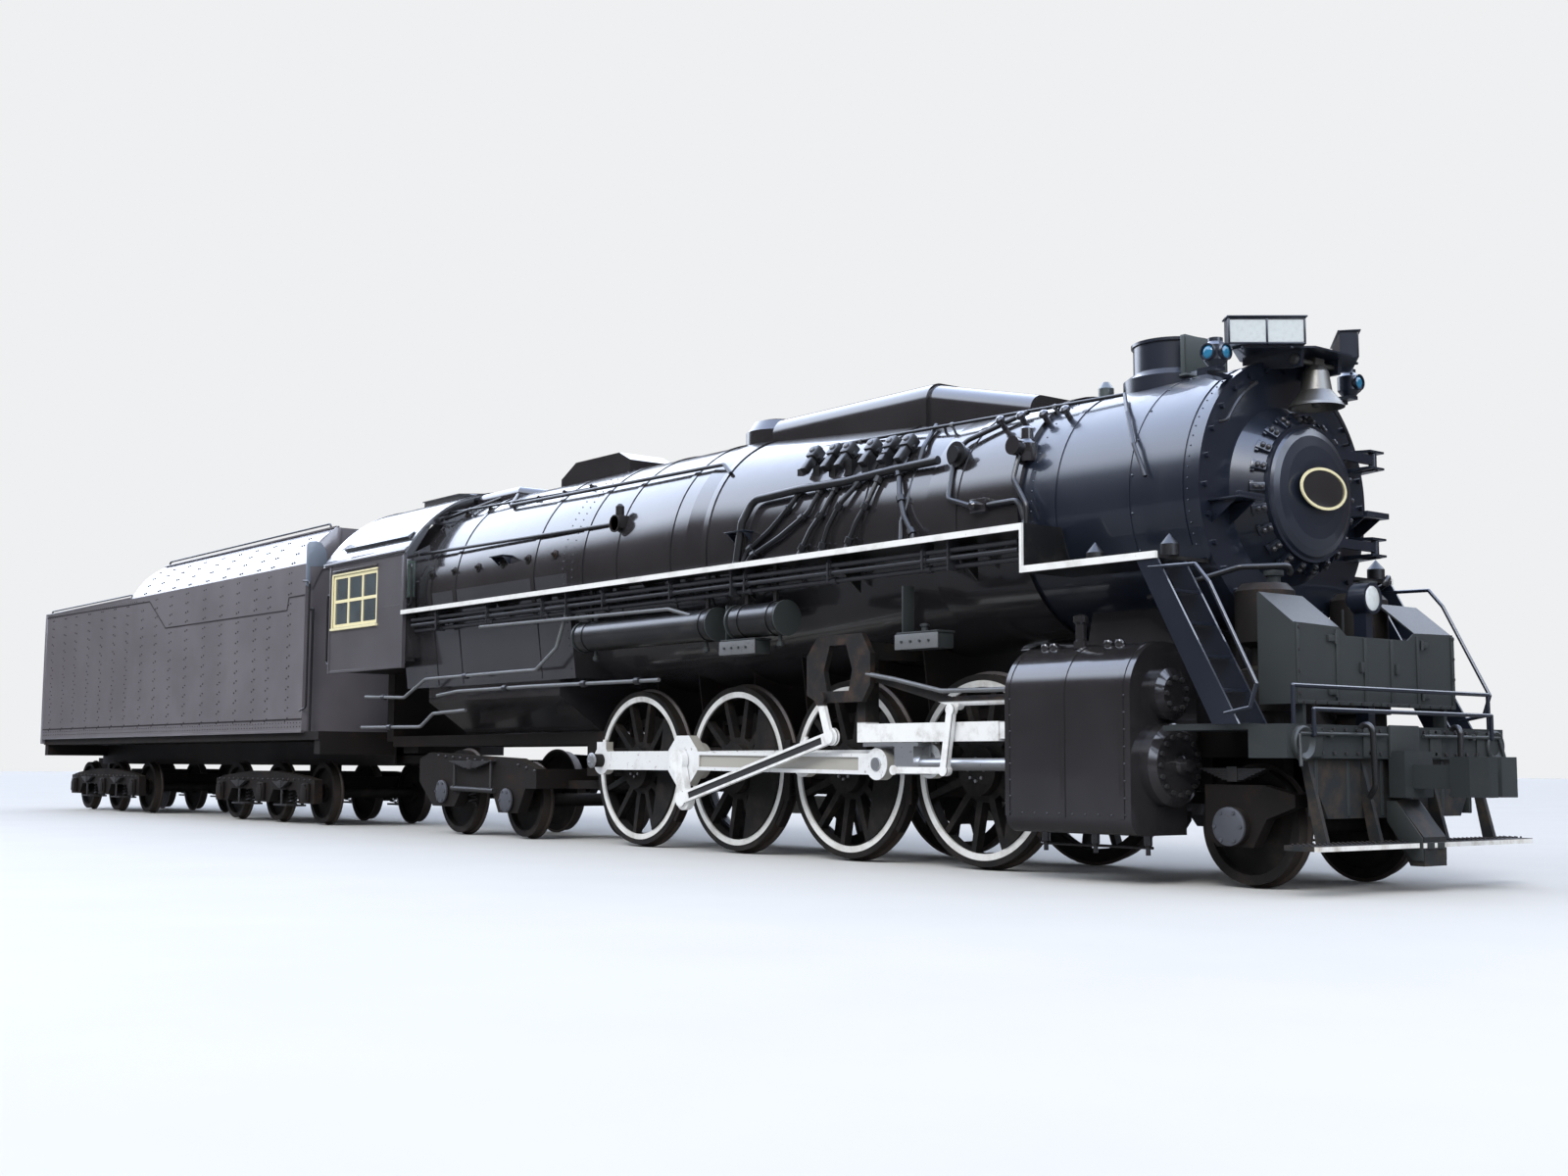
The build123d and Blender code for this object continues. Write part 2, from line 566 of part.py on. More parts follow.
def cab():
    x0, x1 = CAB_X
    y = CAB_Y
    radius, centre = roof_arc(y, CAB_EAVES_Z)
    side = block((x0, x1), (y - CAB_T, y), (CAB_FLOOR_Z - 90, CAB_EAVES_Z))
    side = side - block(WINDOW_X, (y - CAB_T - 9, y + 9), WINDOW_Z)
    for name, shape in zip(("cab_left_side", "cab_right_side"), both(side)):
        add(name, shape)
    inner_y = y - CAB_T
    wall = extrude(Plane.YZ.offset(x1 - CAB_T) * make_face(
        ThreePointArc((y, CAB_EAVES_Z), (0, CAB_CROWN_Z), (-y, CAB_EAVES_Z))
        + Polyline((-y, CAB_EAVES_Z), (-inner_y, CAB_EAVES_Z), (-inner_y, CAB_FLOOR_Z), (inner_y, CAB_FLOOR_Z),
                   (inner_y, CAB_EAVES_Z), (y, CAB_EAVES_Z))), CAB_T)
    hole = rod((x1 - 99, 0, BOILER_Z), (x1 + 99, 0, BOILER_Z), FIREBOX_R + SEAT_GAP)
    half = max(FIREBOX_R, MUD_RING_Y + 61) + SEAT_GAP
    leg = block((x1 - 99, x1 + 99), (-half, half), (CAB_FLOOR_Z - 9, BOILER_Z))
    wall = wall - hole - leg
    for s in (-1, 1):
        wall = wall - slab_x([(s * 1180, 3900), (s * 1430, 3760), (s * 1180, 4170), (s * 1000, 4170)],
                             (x1 - 99, x1 + 99))
    add("cab_front_wall", wall)
    roof = make_face(
        ThreePointArc((y, CAB_EAVES_Z + SEAT_GAP), (0, CAB_CROWN_Z + SEAT_GAP), (-y, CAB_EAVES_Z + SEAT_GAP))
        + Line((-y, CAB_EAVES_Z + SEAT_GAP), (-y - 30, CAB_EAVES_Z + SEAT_GAP))
        + ThreePointArc((-y - 30, CAB_EAVES_Z + SEAT_GAP), (0, CAB_CROWN_Z + 30), (y + 30, CAB_EAVES_Z + SEAT_GAP))
        + Line((y + 30, CAB_EAVES_Z + SEAT_GAP), (y, CAB_EAVES_Z + SEAT_GAP)))
    behind, ahead = ROOF_OVERHANG
    roof = extrude(Plane.YZ.offset(x0 - behind) * roof, x1 - x0 + behind + ahead)
    hatch = block(HATCH_X, HATCH_Y, (CAB_EAVES_Z, HATCH_Z + 99))
    coaming = block((HATCH_X[0] - 25, HATCH_X[1] + 25), (HATCH_Y[0] - 25, HATCH_Y[1] + 25), (CAB_CROWN_Z - 60, HATCH_Z))
    add("cab_roof", roof + coaming - hatch)
    wide = HATCH_Y[1] + 45
    low = HATCH_Z + SEAT_GAP
    lid = slab_x([(-wide, low), (wide, low), (wide, low + 15), (0, low + 60), (-wide, low + 15)],
                 (HATCH_X[0] - 45, HATCH_X[1] + 45))
    knuckle = rod((HATCH_HINGE_X, -300, low + HINGE_R), (HATCH_HINGE_X, 300, low + HINGE_R), HINGE_R)
    add("cab_roof_hatch", lid + knuckle)
    back = FIREBOX_X[0] - SEAT_GAP
    floor = block((x0 - 60, back), (-inner_y, inner_y), (CAB_FLOOR_Z - 60, CAB_FLOOR_Z))
    sill = block((x0, x0 + 200), (-BED_Y - BED_T, BED_Y + BED_T), (BED_Z[1], CAB_FLOOR_Z - 60))
    seats = [block((x0 + 400, x0 + 1000), (inner_y - 480, inner_y), (CAB_FLOOR_Z, CAB_FLOOR_Z + 480))]
    seats.append(mirror(seats[0], Plane.XZ))
    add("cab_floor", floor + sill + seats[0] + seats[1])
    cab_windows()


def cab_windows():
    """Three-by-two sashes with their panes, one on each side."""
    w0, w1 = WINDOW_X
    z0, z1 = WINDOW_Z
    y = (CAB_Y - CAB_T, CAB_Y - 6)
    bar = 44
    gap = SEAT_GAP
    frame = block((w0 + gap, w1 - gap), y, (z0 + gap, z1 - gap))
    width = (w1 - w0 - 2 * gap - 4 * bar) / 3
    height = (z1 - z0 - 2 * gap - 3 * bar) / 2
    panes = []
    for i in range(3):
        for j in range(2):
            px = w0 + gap + bar + i * (width + bar)
            pz = z0 + gap + bar + j * (height + bar)
            frame = frame - block((px, px + width), (0, 2 * CAB_Y), (pz, pz + height))
            panes.append(block((px, px + width), (CAB_Y - 24, CAB_Y - 18), (pz, pz + height)))
    for pane in [frame] + panes:
        add("cab_windows", *both(pane))


# Running boards

def running_boards():
    z = UPPER_BOARD_Z
    upper = block((CAB_X[1], STEP_X), (1000, BOARD_Y - LIP_T), (z, z + BOARD_T))
    lip = block((CAB_X[1], STEP_X), (BOARD_Y - LIP_T, BOARD_Y), (z - 4, z + LIP_H))
    riser = block((STEP_X, STEP_X + 26), (1000, BOARD_Y), (LOWER_BOARD_Z, z + LIP_H))
    low = LOWER_BOARD_Z
    lower = block((STEP_X, BOARD_FRONT_X), (880, BOARD_Y - LIP_T), (low, low + BOARD_T))
    lower_lip = block((STEP_X, BOARD_FRONT_X), (BOARD_Y - LIP_T, BOARD_Y), (low - 4, low + LIP_H))
    board = upper + lip + riser + lower + lower_lip
    for x in (-9300, -7700, -6100, -4500, -2900, -1300, 300):
        web = slab_y([(x - 9, z), (x + 9, z), (x + 9, z - 9), (x - 9, z - 9)], (1000, BOARD_Y - 60))
        board = board + web + slab_x([(1150, z), (BOARD_Y - 60, z), (1150, z - 330)], (x - 9, x + 9))
    board = board - NODES["boiler_barrel"][0] - NODES["firebox_shell"][0]
    board = board - rod((SMOKEBOX_X[0], 0, BOILER_Z), (SMOKEBOX_X[1], 0, BOILER_Z), SMOKEBOX_R + 22)
    add("running_boards", *both(board))
    r, y, z = RESERVOIR_R, RESERVOIR_Y, RESERVOIR_Z
    for x0, x1 in RESERVOIR_X:
        tank = turned_x([(x0, 0), (x0, r - 60), (x0 + 45, r), (x1 - 45, r), (x1, r - 60), (x1, 0)], y, z)
        for x in (x0 + 150, x1 - 180):
            tank = tank + turned_x([(x, 0), (x, r + 9), (x + 50, r + 9), (x + 50, 0)], y, z)
            tank = tank + block((x, x + 50), (y, y + 30), (z, UPPER_BOARD_Z))
        add("running_boards", *both(tank))


# Valve gear, guides and rods

def motion(side):
    """The pieces of one side's motion that stay with the engine, and those that move."""
    name = "right" if side == RIGHT else "left"

    def out(span):
        return tuple(sorted(side * v for v in span))

    px, pz = pin_at(MAIN, side)
    wrist_x = px + math.sqrt(MAIN_ROD_L ** 2 - (pz - CYL_Z) ** 2)
    # Side rod with an eye at each crank pin
    zs = pin_at(0, side)[1]
    first = pin_at(0, side)[0]
    last = pin_at(3, side)[0]
    rods = slab_y([(last, zs - SIDE_ROD_H / 2), (first, zs - SIDE_ROD_H / 2), (first, zs + SIDE_ROD_H / 2),
                   (last, zs + SIDE_ROD_H / 2)], out(SIDE_ROD_Y))
    y = out(SIDE_ROD_Y)
    for i in range(4):
        x, z = pin_at(i, side)
        rods = rods + rod((x, y[0], z), (x, y[1], z), 195 if i == MAIN else 160)
    for i, half, top in ((0, 40, 195), (1, 40, 195), (3, 95, 215)):
        x, z = pin_at(i, side)
        rods = rods + block((x - half, x + half), y, (z + 120, z + top))
    for i in range(4):
        x, z = pin_at(i, side)
        rods = rods - rod((x, y[0] - 9, z), (x, y[1] + 9, z), PIN_R + RUN_GAP)
    add("side_rod_" + name, rods)
    # Main rod with its own stub of the crank pin
    y = out(MAIN_ROD_Y)
    main = link((px, pz), (wrist_x, CYL_Z), 200, y, 150)
    corners = [math.radians(22.5 + 45 * i) for i in range(8)]
    main = main + slab_y([(px + BIG_END_R * math.cos(t), pz + BIG_END_R * math.sin(t)) for t in corners], y)
    main = main + rod((px, side * (SIDE_ROD_Y[1] + 6 + RUN_GAP), pz), (px, side * CYL_Y, pz), PIN_R)
    face = y[1] if side == LEFT else y[0]
    angle = math.degrees(math.atan2(CYL_Z - pz, wrist_x - px))
    flute = block((300, MAIN_ROD_L - 260), (-25, 25), (-62, 62))
    main = main - Pos(px, face, pz) * Rot(0, -angle, 0) * flute
    main = main - rod((wrist_x, -9999, CYL_Z), (wrist_x, 9999, CYL_Z), 62 + RUN_GAP)
    add("main_rod_" + name, main)
    # Crosshead with wrist pin and piston rod
    x0, x1 = wrist_x - 156, wrist_x + 604
    plate = block((x0, x1), out((GUIDE_Y[0], MAIN_ROD_Y[0] - 5)), (CYL_Z - 95, GUIDE_Z[0] - 40))
    slide = block((x0, x1), out(GUIDE_Y), (GUIDE_Z[0] - 40, GUIDE_Z[0] - 5))
    pin = rod((wrist_x, side * GUIDE_Y[0], CYL_Z), (wrist_x, side * (MAIN_ROD_Y[1] + 18), CYL_Z), 62)
    neck = block((x1 - 320, x1 - 60), out(GUIDE_Y), (CYL_Z - 80, GUIDE_Z[0] - 40))
    boss = rod((x1 - 200, side * CYL_Y, CYL_Z), (x1, side * CYL_Y, CYL_Z), 82)
    piston = rod((x1 - 100, side * CYL_Y, CYL_Z), (CYL_X[0] + 180, side * CYL_Y, CYL_Z), PISTON_ROD_R)
    add("crosshead_" + name, plate + slide + pin + neck + boss + piston)
    # Guide and its yoke
    guide = block(GUIDE_X, out(GUIDE_Y), GUIDE_Z)
    tail = block((GUIDE_X[1], CYL_X[0]), out((GUIDE_Y[0] + 20, GUIDE_Y[1] - 20)), (GUIDE_Z[0] + 20, GUIDE_Z[1] - 10))
    hanger = block((GUIDE_X[0], GUIDE_X[0] + 120), out(GUIDE_Y), (GUIDE_Z[1], YOKE_Z[1]))
    add("crosshead_guides", guide + tail + hanger)
    # Baker valve gear, parked
    gear_y = out(GEAR_Y)
    frame = slab_y([(-1870, 1620), (-1700, 1540), (-1050, 1540), (-930, 1700), (-930, 2000), (-1050, 2190),
                    (-1700, 2190), (-1870, 2000)], gear_y)
    frame = frame - slab_y([(-1560, 1650), (-1240, 1650), (-1190, 1850), (-1280, 2090), (-1520, 2090),
                            (-1610, 1850)], out((0, 9999)))
    carry = block((-1224, -1104), out((GUIDE_Y[1], GEAR_Y[0])), (1560, YOKE_Z[1]))
    gear_foot = (-1500, 1215)
    gear_link = link(gear_foot, (-1630, 1580), 90, out((1350, 1390)), 70)
    eccentric_end = (px + 130, pz - 405) if side == RIGHT else (px + 405, pz + 130)
    lower = out((1310, 1350))
    eccentric = link(eccentric_end, gear_foot, 120, lower, 85)
    angle = math.degrees(math.atan2(gear_foot[1] - eccentric_end[1], gear_foot[0] - eccentric_end[0]))
    length = math.hypot(gear_foot[0] - eccentric_end[0], gear_foot[1] - eccentric_end[1])
    flute = block((150, length - 150), (-14, 14), (-34, 34))
    eccentric = eccentric - Pos(eccentric_end[0], side * 1350, eccentric_end[1]) * Rot(0, -angle, 0) * flute
    arm_y = out((MAIN_ROD_Y[1] + 10, 1310))
    arm = link((px, pz), eccentric_end, 150, arm_y, 120)
    lever_top = (135, 1440)
    lever_foot = (44, 900)
    lever = link(lever_top, lever_foot, 70, gear_y, 50)
    union = link(lever_foot, (wrist_x + 300, 900), 60, out((1270, 1290)), 45)
    stem_y = out((1290 - 80, 1290))
    stem = link((-1000, 1780), (135, 1500), 70, stem_y, 60)
    valve_rod = rod((135, side * 1250, 1520), (CYL_X[0], side * 1250, 1520), 45)
    gear = [frame + carry, gear_link, eccentric, arm, lever, union, stem + valve_rod]
    add("valve_gear", *gear)


def yoke():
    beam = block((GUIDE_X[0], GUIDE_X[0] + 120), (-GUIDE_Y[0], GUIDE_Y[0]), YOKE_Z)
    barrel = NODES["boiler_barrel"][0]
    add("crosshead_guides", beam - barrel)


# Front end

def front_end():
    x0, x1 = BEAM_X
    beam = block(BEAM_X, (-BEAM_Y, BEAM_Y), BEAM_Z)
    deck = block((DECK_REAR_X, x0), (-BEAM_Y, BEAM_Y), (BEAM_Z[1] - 40, BEAM_Z[1]))
    stay = block((BED_X[1], x0), (-BED_Y - BED_T, BED_Y + BED_T), (BEAM_Z[0] + 30, BEAM_Z[1] - 40))
    deck = deck - block((0, BED_X[1]), (-BED_Y - BED_T, BED_Y + BED_T), (0, BED_Z[1]))
    add("pilot_beam", beam + deck + stay)
    plate = slab_x([(-1180, BEAM_Z[0]), (-900, 560), (900, 560), (1180, BEAM_Z[0])], (x1 - 120, x1 - 60))
    nose = slab_y([(x1 - 60, 700), (x1 + 30, 700), (x1 + 260, 420), (x1 + 260, 200), (x1 + 140, 200),
                   (x1 - 60, 560)], (-150, 150))
    solids = plate + nose
    f0, f1 = FOOTBOARD_X
    for s in (-1, 1):
        span = tuple(sorted(s * v for v in FOOTBOARD_Y))
        solids = solids + block((f0, f1), span, (FOOTBOARD_Z - 40, FOOTBOARD_Z))
        for y in (430, 1110):
            bracket = slab_y([(x1 - 120, BEAM_Z[0]), (x1 - 60, BEAM_Z[0]), (f0 + 160, FOOTBOARD_Z),
                              (f0 + 60, FOOTBOARD_Z)], tuple(sorted((s * y, s * (y + 40)))))
            solids = solids + bracket
    add("pilot_and_footboards", solids)
    add("front_coupler", coupler(x1, COUPLER_FRONT_X, 1))
    pumps()
    lamps()
    bell()
    ladders()


def coupler(x0, x1, way):
    """Knuckle coupler reaching from a beam face at x0 to its pulling face at x1."""
    z = 876
    shank = block(tuple(sorted((x0, x1 - way * 330))), (-85, 85), (z - 90, z + 90))
    outer = [(x1 - way * 340, -150), (x1 - way * 340, 150), (x1 - way * 120, 250), (x1, 200), (x1 - way * 60, 90),
             (x1 - way * 210, 60), (x1 - way * 210, -60), (x1, -70), (x1, -190), (x1 - way * 150, -200)]
    if way < 0:
        outer = [(px, -py) for px, py in outer]
    head = slab_z(outer, (z - 150, z + 150))
    housing = block(tuple(sorted((x0, x0 + way * 140))), (-190, 190), (z - 160, BEAM_Z[0] + 60))
    housing = housing - block(tuple(sorted((x0 - 9, x0 + way * 150))), (-85, 85), (z - 90, z + 90))
    return shank + head + housing


def pumps():
    x = PUMP_X
    for s in (-1, 1):
        y = s * PUMP_Y
        pump = turned_z([(0, BEAM_Z[1]), (200, BEAM_Z[1]), (200, BEAM_Z[1] + 120), (235, BEAM_Z[1] + 120), (235, 1700),
                         (110, 1740), (110, 1880), (235, 1920), (235, 2330), (180, 2390), (0, 2390)], x, y)
        add("air_pumps", pump)
    front = slab_x([(-SHIELD_Y, SHIELD_Z[0]), (-SHIELD_Y, SHIELD_Z[1]), (-515, SHIELD_Z[1] - 12), (-420, 1960),
                    (420, 1960), (515, SHIELD_Z[1] - 12), (SHIELD_Y, SHIELD_Z[1]), (SHIELD_Y, SHIELD_Z[0])],
                   (SHIELD_X - 14, SHIELD_X))
    shield = front
    for s in (-1, 1):
        cheek = slab_y([(SHIELD_X - 340, SHIELD_Z[0]), (SHIELD_X - 14, SHIELD_Z[0]), (SHIELD_X - 14, SHIELD_Z[1]),
                        (SHIELD_X - 340, SHIELD_Z[1] + 240)], tuple(sorted((s * (SHIELD_Y - 14), s * SHIELD_Y))))
        wing = slab_y([(SHIELD_X - 14, SHIELD_Z[1] - 12), (SHIELD_X, SHIELD_Z[1] - 12), (SHIELD_X - 325, SHIELD_Z[1] + 250),
                       (SHIELD_X - 340, SHIELD_Z[1] + 240)], tuple(sorted((s * 515, s * SHIELD_Y))))
        leg = block((SHIELD_X - 120, SHIELD_X - 14), tuple(sorted((s * 940, s * 980))), (BEAM_Z[1], SHIELD_Z[1] - 60))
        shield = shield + cheek + wing + leg
    add("pump_shields", shield)


def lamps():
    r = HEADLIGHT_R
    x, z = HEADLIGHT_X, HEADLIGHT_Z
    head = turned_x([(x - 200, 0), (x - 200, r - 45), (x - 150, r), (x, r), (x, r - 22), (x - 12, r - 22), (x - 12, 0)],
                    0, z)
    post = block((x - 150, x - 40), (-45, 45), (BEAM_Z[1], z - r + 9))
    add("front_lamps", head + post)
    shelf = slab_z([(2560, -300), (2790, -700), (2880, -700), (3270, -250), (3270, 250), (2880, 700), (2790, 700),
                    (2560, 300)], (YOKE_TOP + SEAT_GAP, NUMBER_BOX_Z[0]))
    for s in (-1, 1):
        board = Rot(0, 0, s * NUMBER_BOX_ANGLE) * block((-70, 70), (-310, 310), NUMBER_BOX_Z)
        shelf = shelf + Pos(NUMBER_BOX_X, s * NUMBER_BOX_Y, 0) * board
    add("front_lamps", shelf)
    for s in (-1, 1):
        z = LAMP_Z
        lamp = turned_z([(0, z - 107), (60, z - 107), (95, z - 60), (95, z + 60), (60, z + 95), (60, z + 125),
                         (0, z + 140)], 2789, s * 913)
        arm = block((2640, 2840), tuple(sorted((s * 860, s * 966))), (z - 139, z - 107))
        arm = arm + block((2640, 2740), tuple(sorted((s * 560, s * 966))), (z - 167, z - 130))
        arm = arm - rod((2000, 0, BOILER_Z), (3000, 0, BOILER_Z), SMOKEBOX_R + 22)
        add("front_lamps", lamp + arm)


def bell():
    x, y, z = BELL_PIVOT
    cup = turned_z([(0, z - 20), (70, z - 20), (105, z - 70), (130, z - 230), (215, z - 340), (228, z - 365),
                    (200, z - 365), (112, z - 230), (85, z - 90), (0, z - 60)], x, y)
    crown = block((x - 45, x + 45), (-60, 60), (z - 20, z + 40)) + rod((x, -275, z), (x, 275, z), 22)
    add("bell", cup + crown)
    yoke_solid = None
    for s in (-1, 1):
        back = SMOKEBOX_X[1] - 60
        cheek = slab_y([(x - 50, z - 60), (x + 50, z - 60), (x + 60, YOKE_TOP), (back, YOKE_TOP), (back, z - 10)],
                       tuple(sorted((s * 235, s * 275))))
        cheek = cheek - rod((x, -400, z), (x, 400, z), 22 + RUN_GAP)
        yoke_solid = cheek if yoke_solid is None else yoke_solid + cheek
    base = block((SMOKEBOX_X[1] - 200, SMOKEBOX_X[1] - 60), (-275, 275), (BOILER_Z + SMOKEBOX_R - 60, YOKE_TOP))
    seat = rod((2000, 0, BOILER_Z), (SMOKEBOX_X[1] + SEAT_GAP, 0, BOILER_Z), SMOKEBOX_R + 22)
    add("bell_yoke", yoke_solid + base - seat)


def ladders():
    top = (BOARD_FRONT_X - 80, LOWER_BOARD_Z - 4)
    foot = (LADDER_FOOT_X, BEAM_Z[1])
    for s in (-1, 1):
        solid = None
        for y in LADDER_Y:
            stringer = slab_y([(top[0] - 130, top[1]), (top[0] + 80, top[1]), (foot[0] + 90, foot[1]),
                               (foot[0] - 150, foot[1])], tuple(sorted((s * y, s * (y + LADDER_T)))))
            solid = stringer if solid is None else solid + stringer
        for i in range(1, 5):
            t = i / 5
            x = top[0] + (foot[0] - top[0]) * t
            z = top[1] + (foot[1] - top[1]) * t
            span = tuple(sorted((s * (LADDER_Y[0] + LADDER_T), s * LADDER_Y[1])))
            solid = solid + block((x - 130, x + 70), span, (z - 12, z + 12))
        y = s * 1583
        grip = rail([(top[0] - 10, y, top[1] - 66), (top[0] + 440, y, top[1] - 76), (top[0] + 570, y, top[1] - 226),
                     (foot[0] + 250, y, foot[1] + 290), (foot[0] + 190, y, foot[1] + 120),
                     (foot[0] - 40, y, foot[1] + 80)], 16)
        add("front_ladders_and_rails", solid + grip)
    x, y, z = BEAM_X[1] - 40, 1327, 1545
    add("front_ladders_and_rails", rail([(x, -y, BEAM_Z[1]), (x, -y, z), (x, y, z), (x, y, BEAM_Z[1])], 17))
    x, y, z, foot = BEAM_X[1] + 53, 1209, 1369, 1180
    bar = rail([(BEAM_X[1], -y, foot), (x, -y, foot), (x, -y, z), (x, y, z), (x, y, foot), (BEAM_X[1], y, foot)], 17)
    add("front_ladders_and_rails", bar)


# Handrails, pipes and fittings on the boiler

def handrails():
    for s in (-1, 1):
        bar = rail([(-10100, s * 900, 4350), (1600, s * 640, 4150), (1850, s * 900, 3920), (2080, s * 1100, 3600),
                    (2250, s * 1155, 3300)], 17)
        for x in (-8600, -6600, -4600, -2600, -600):
            t = (x + 10100) / 11700
            y = 900 + (640 - 900) * t
            z = 4350 + (4150 - 4350) * t
            bar = bar + rod((x, s * y * 0.93, z - 0.07 * (z - BOILER_Z) - 70), (x, s * y, z), 14)
        solid = bar - NODES["boiler_barrel"][0] - NODES["firebox_shell"][0]
        add("boiler_handrails", solid)


def side_pipes():
    for s in (-1, 1):
        for y, z in SIDE_PIPES:
            add("side_pipes", rod((SIDE_PIPES_X[0], s * y, z), (SIDE_PIPES_X[1], s * y, z), SIDE_PIPE_R))
    for s in (-1, 1):
        hangers = None
        for x in (-9300, -6100, -2900, 300):
            hanger = block((x + 9, x + 29), tuple(sorted((s * 1400, s * 1540))), (2660, UPPER_BOARD_Z))
            for y, z in SIDE_PIPES:
                hanger = hanger - rod((x - 99, s * y, z), (x + 99, s * y, z), SIDE_PIPE_R)
            add("side_pipes", hanger)


def boiler_fittings():
    barrel = NODES["boiler_barrel"][0]
    for s in (-1, 1):
        for i in range(6):
            x = -2320 + i * 250
            valve = block((x - 50, x + 50), tuple(sorted((s * 800, s * 1075))), (3790, 3950)) - barrel
            add("boiler_fittings", valve)
        body = rod((-60, s * 760, 3800), (-60, s * 1110, 3800), 75)
        flange = rod((-60, s * 1040, 3800), (-60, s * 1065, 3800), 120)
        check = body + flange - barrel
        add("boiler_fittings", check)
        for x in (1917, 2686):
            dome = turned_z([(0, LOWER_BOARD_Z + BOARD_T), (75, LOWER_BOARD_Z + BOARD_T), (75, 2680), (0, 2770)],
                            x, s * 1400)
            add("boiler_fittings", dome)


# Trucks

def lead_truck():
    x = LEAD_AXLE_X
    z = SMALL_Z
    deck_z = (z + 155, z + 250)
    front = x + 560
    side = slab_y([(x - 280, z - 60), (x - 170, z - 160), (x + 170, z - 160), (x + 300, z + 60), (front, deck_z[0]),
                   (front, deck_z[1]), (x + 260, z + 320), (x - 280, z + 320)], (900, 1010))
    side = side + rod((x, 1000, z), (x, 1070, z), 150)
    deck = slab_z([(front, 1010), (front, -1010), (front - 60, -1010), (front - 60, -560), (x - 560, -560),
                   (LEAD_PIVOT_X, -110), (LEAD_PIVOT_X, 110), (x - 560, 560), (front - 60, 560), (front - 60, 1010)],
                  deck_z)
    boss = rod((LEAD_PIVOT_X, 0, LEAD_PIVOT_Z[0]), (LEAD_PIVOT_X, 0, LEAD_PIVOT_Z[1]), 150)
    frame = deck + side + mirror(side, Plane.XZ) + boss
    frame = frame - rod((LEAD_PIVOT_X, 0, 0), (LEAD_PIVOT_X, 0, DRIVER_Z), PIVOT_PIN_R + RUN_GAP)
    frame = frame - rod((x, -1032, z), (x, 1032, z), SMALL_AXLE_R + RUN_GAP)
    add("lead_truck_frame", frame)
    wheelset("lead_wheelset", x, SMALL_R, SMALL_AXLE_R, 1030)


def trailing_truck():
    xa, xb = TRAILER_AXLE_X
    frame = None
    for s in (-1, 1):
        y = tuple(sorted((s * 920, s * 1060)))
        side = slab_y([(xa + 680, 640), (xa + 680, 880), (xa + 200, 1010), (xb - 420, 1090), (xb - 700, 1000),
                       (xb - 700, 700), (xb - 300, 380), (xb + 300, 380), (xb + 500, 620), (xa - 420, 620),
                       (xa - 240, 330), (xa + 240, 330), (xa + 420, 640)], y)
        frame = side if frame is None else frame + side
    frame = frame + block((xb - 700, xb - 600), (-1060, 1060), (700, 1000))
    frame = frame + block((xa + 540, xa + 680), (-1060, 1060), (640, 880))
    tongue = slab_z([(xa + 660, -600), (xa + 660, 600), (TRAILER_PIVOT_X + 90, 90), (TRAILER_PIVOT_X + 90, -90)],
                    (640, 740))
    boss = rod((TRAILER_PIVOT_X, 0, TRAILER_PIVOT_Z[0]), (TRAILER_PIVOT_X, 0, TRAILER_PIVOT_Z[1]), 150)
    frame = frame + tongue + boss
    frame = frame - rod((TRAILER_PIVOT_X, 0, 0), (TRAILER_PIVOT_X, 0, DRIVER_Z), PIVOT_PIN_R + RUN_GAP)
    frame = frame - rod((xa, -2000, SMALL_Z), (xa, 2000, SMALL_Z), SMALL_AXLE_R + RUN_GAP)
    frame = frame - rod((xb, -2000, TRAILER_Z), (xb, 2000, TRAILER_Z), SMALL_AXLE_R + 20 + RUN_GAP)
    add("trailing_truck_frame", frame)
    wheelset("trailing_wheelset_front", xa, SMALL_R, SMALL_AXLE_R, 1080)
    wheelset("trailing_wheelset_rear", xb, TRAILER_R, SMALL_AXLE_R + 20, 1080)


def tender_truck(name, x):
    pitch = TENDER_AXLE_PITCH
    z = SMALL_Z
    frame = None
    for s in (-1, 1):
        y = tuple(sorted((s * 930, s * 1060)))
        points = [(x + pitch + 260, z - 160), (x + pitch + 260, z + 200), (x + pitch - 200, z + 260),
                  (x + 420, z + 330), (x - 420, z + 330), (x - pitch + 200, z + 260), (x - pitch - 260, z + 200),
                  (x - pitch - 260, z - 160), (x - pitch + 260, z - 160), (x - pitch + 420, z + 40),
                  (x - 420, z + 40), (x - 260, z - 160), (x + 260, z - 160), (x + 420, z + 40),
                  (x + pitch - 420, z + 40), (x + pitch - 260, z - 160)]
        side = slab_y(points, y)
        frame = side if frame is None else frame + side
    for a in (x + pitch / 2, x - pitch / 2):
        frame = frame + block((a - 130, a + 130), (-1060, 1060), (z + 60, z + 240))
    frame = frame + block((x - pitch / 2, x + pitch / 2), (-260, 260), (z + 180, z + 330))
    frame = frame + rod((x, 0, z + 300), (x, 0, z + 420), 250)
    for i in (-1, 0, 1):
        ax = x + i * pitch
        frame = frame - rod((ax, -2000, z), (ax, 2000, z), SMALL_AXLE_R + RUN_GAP)
    add(name, frame)


# Tender

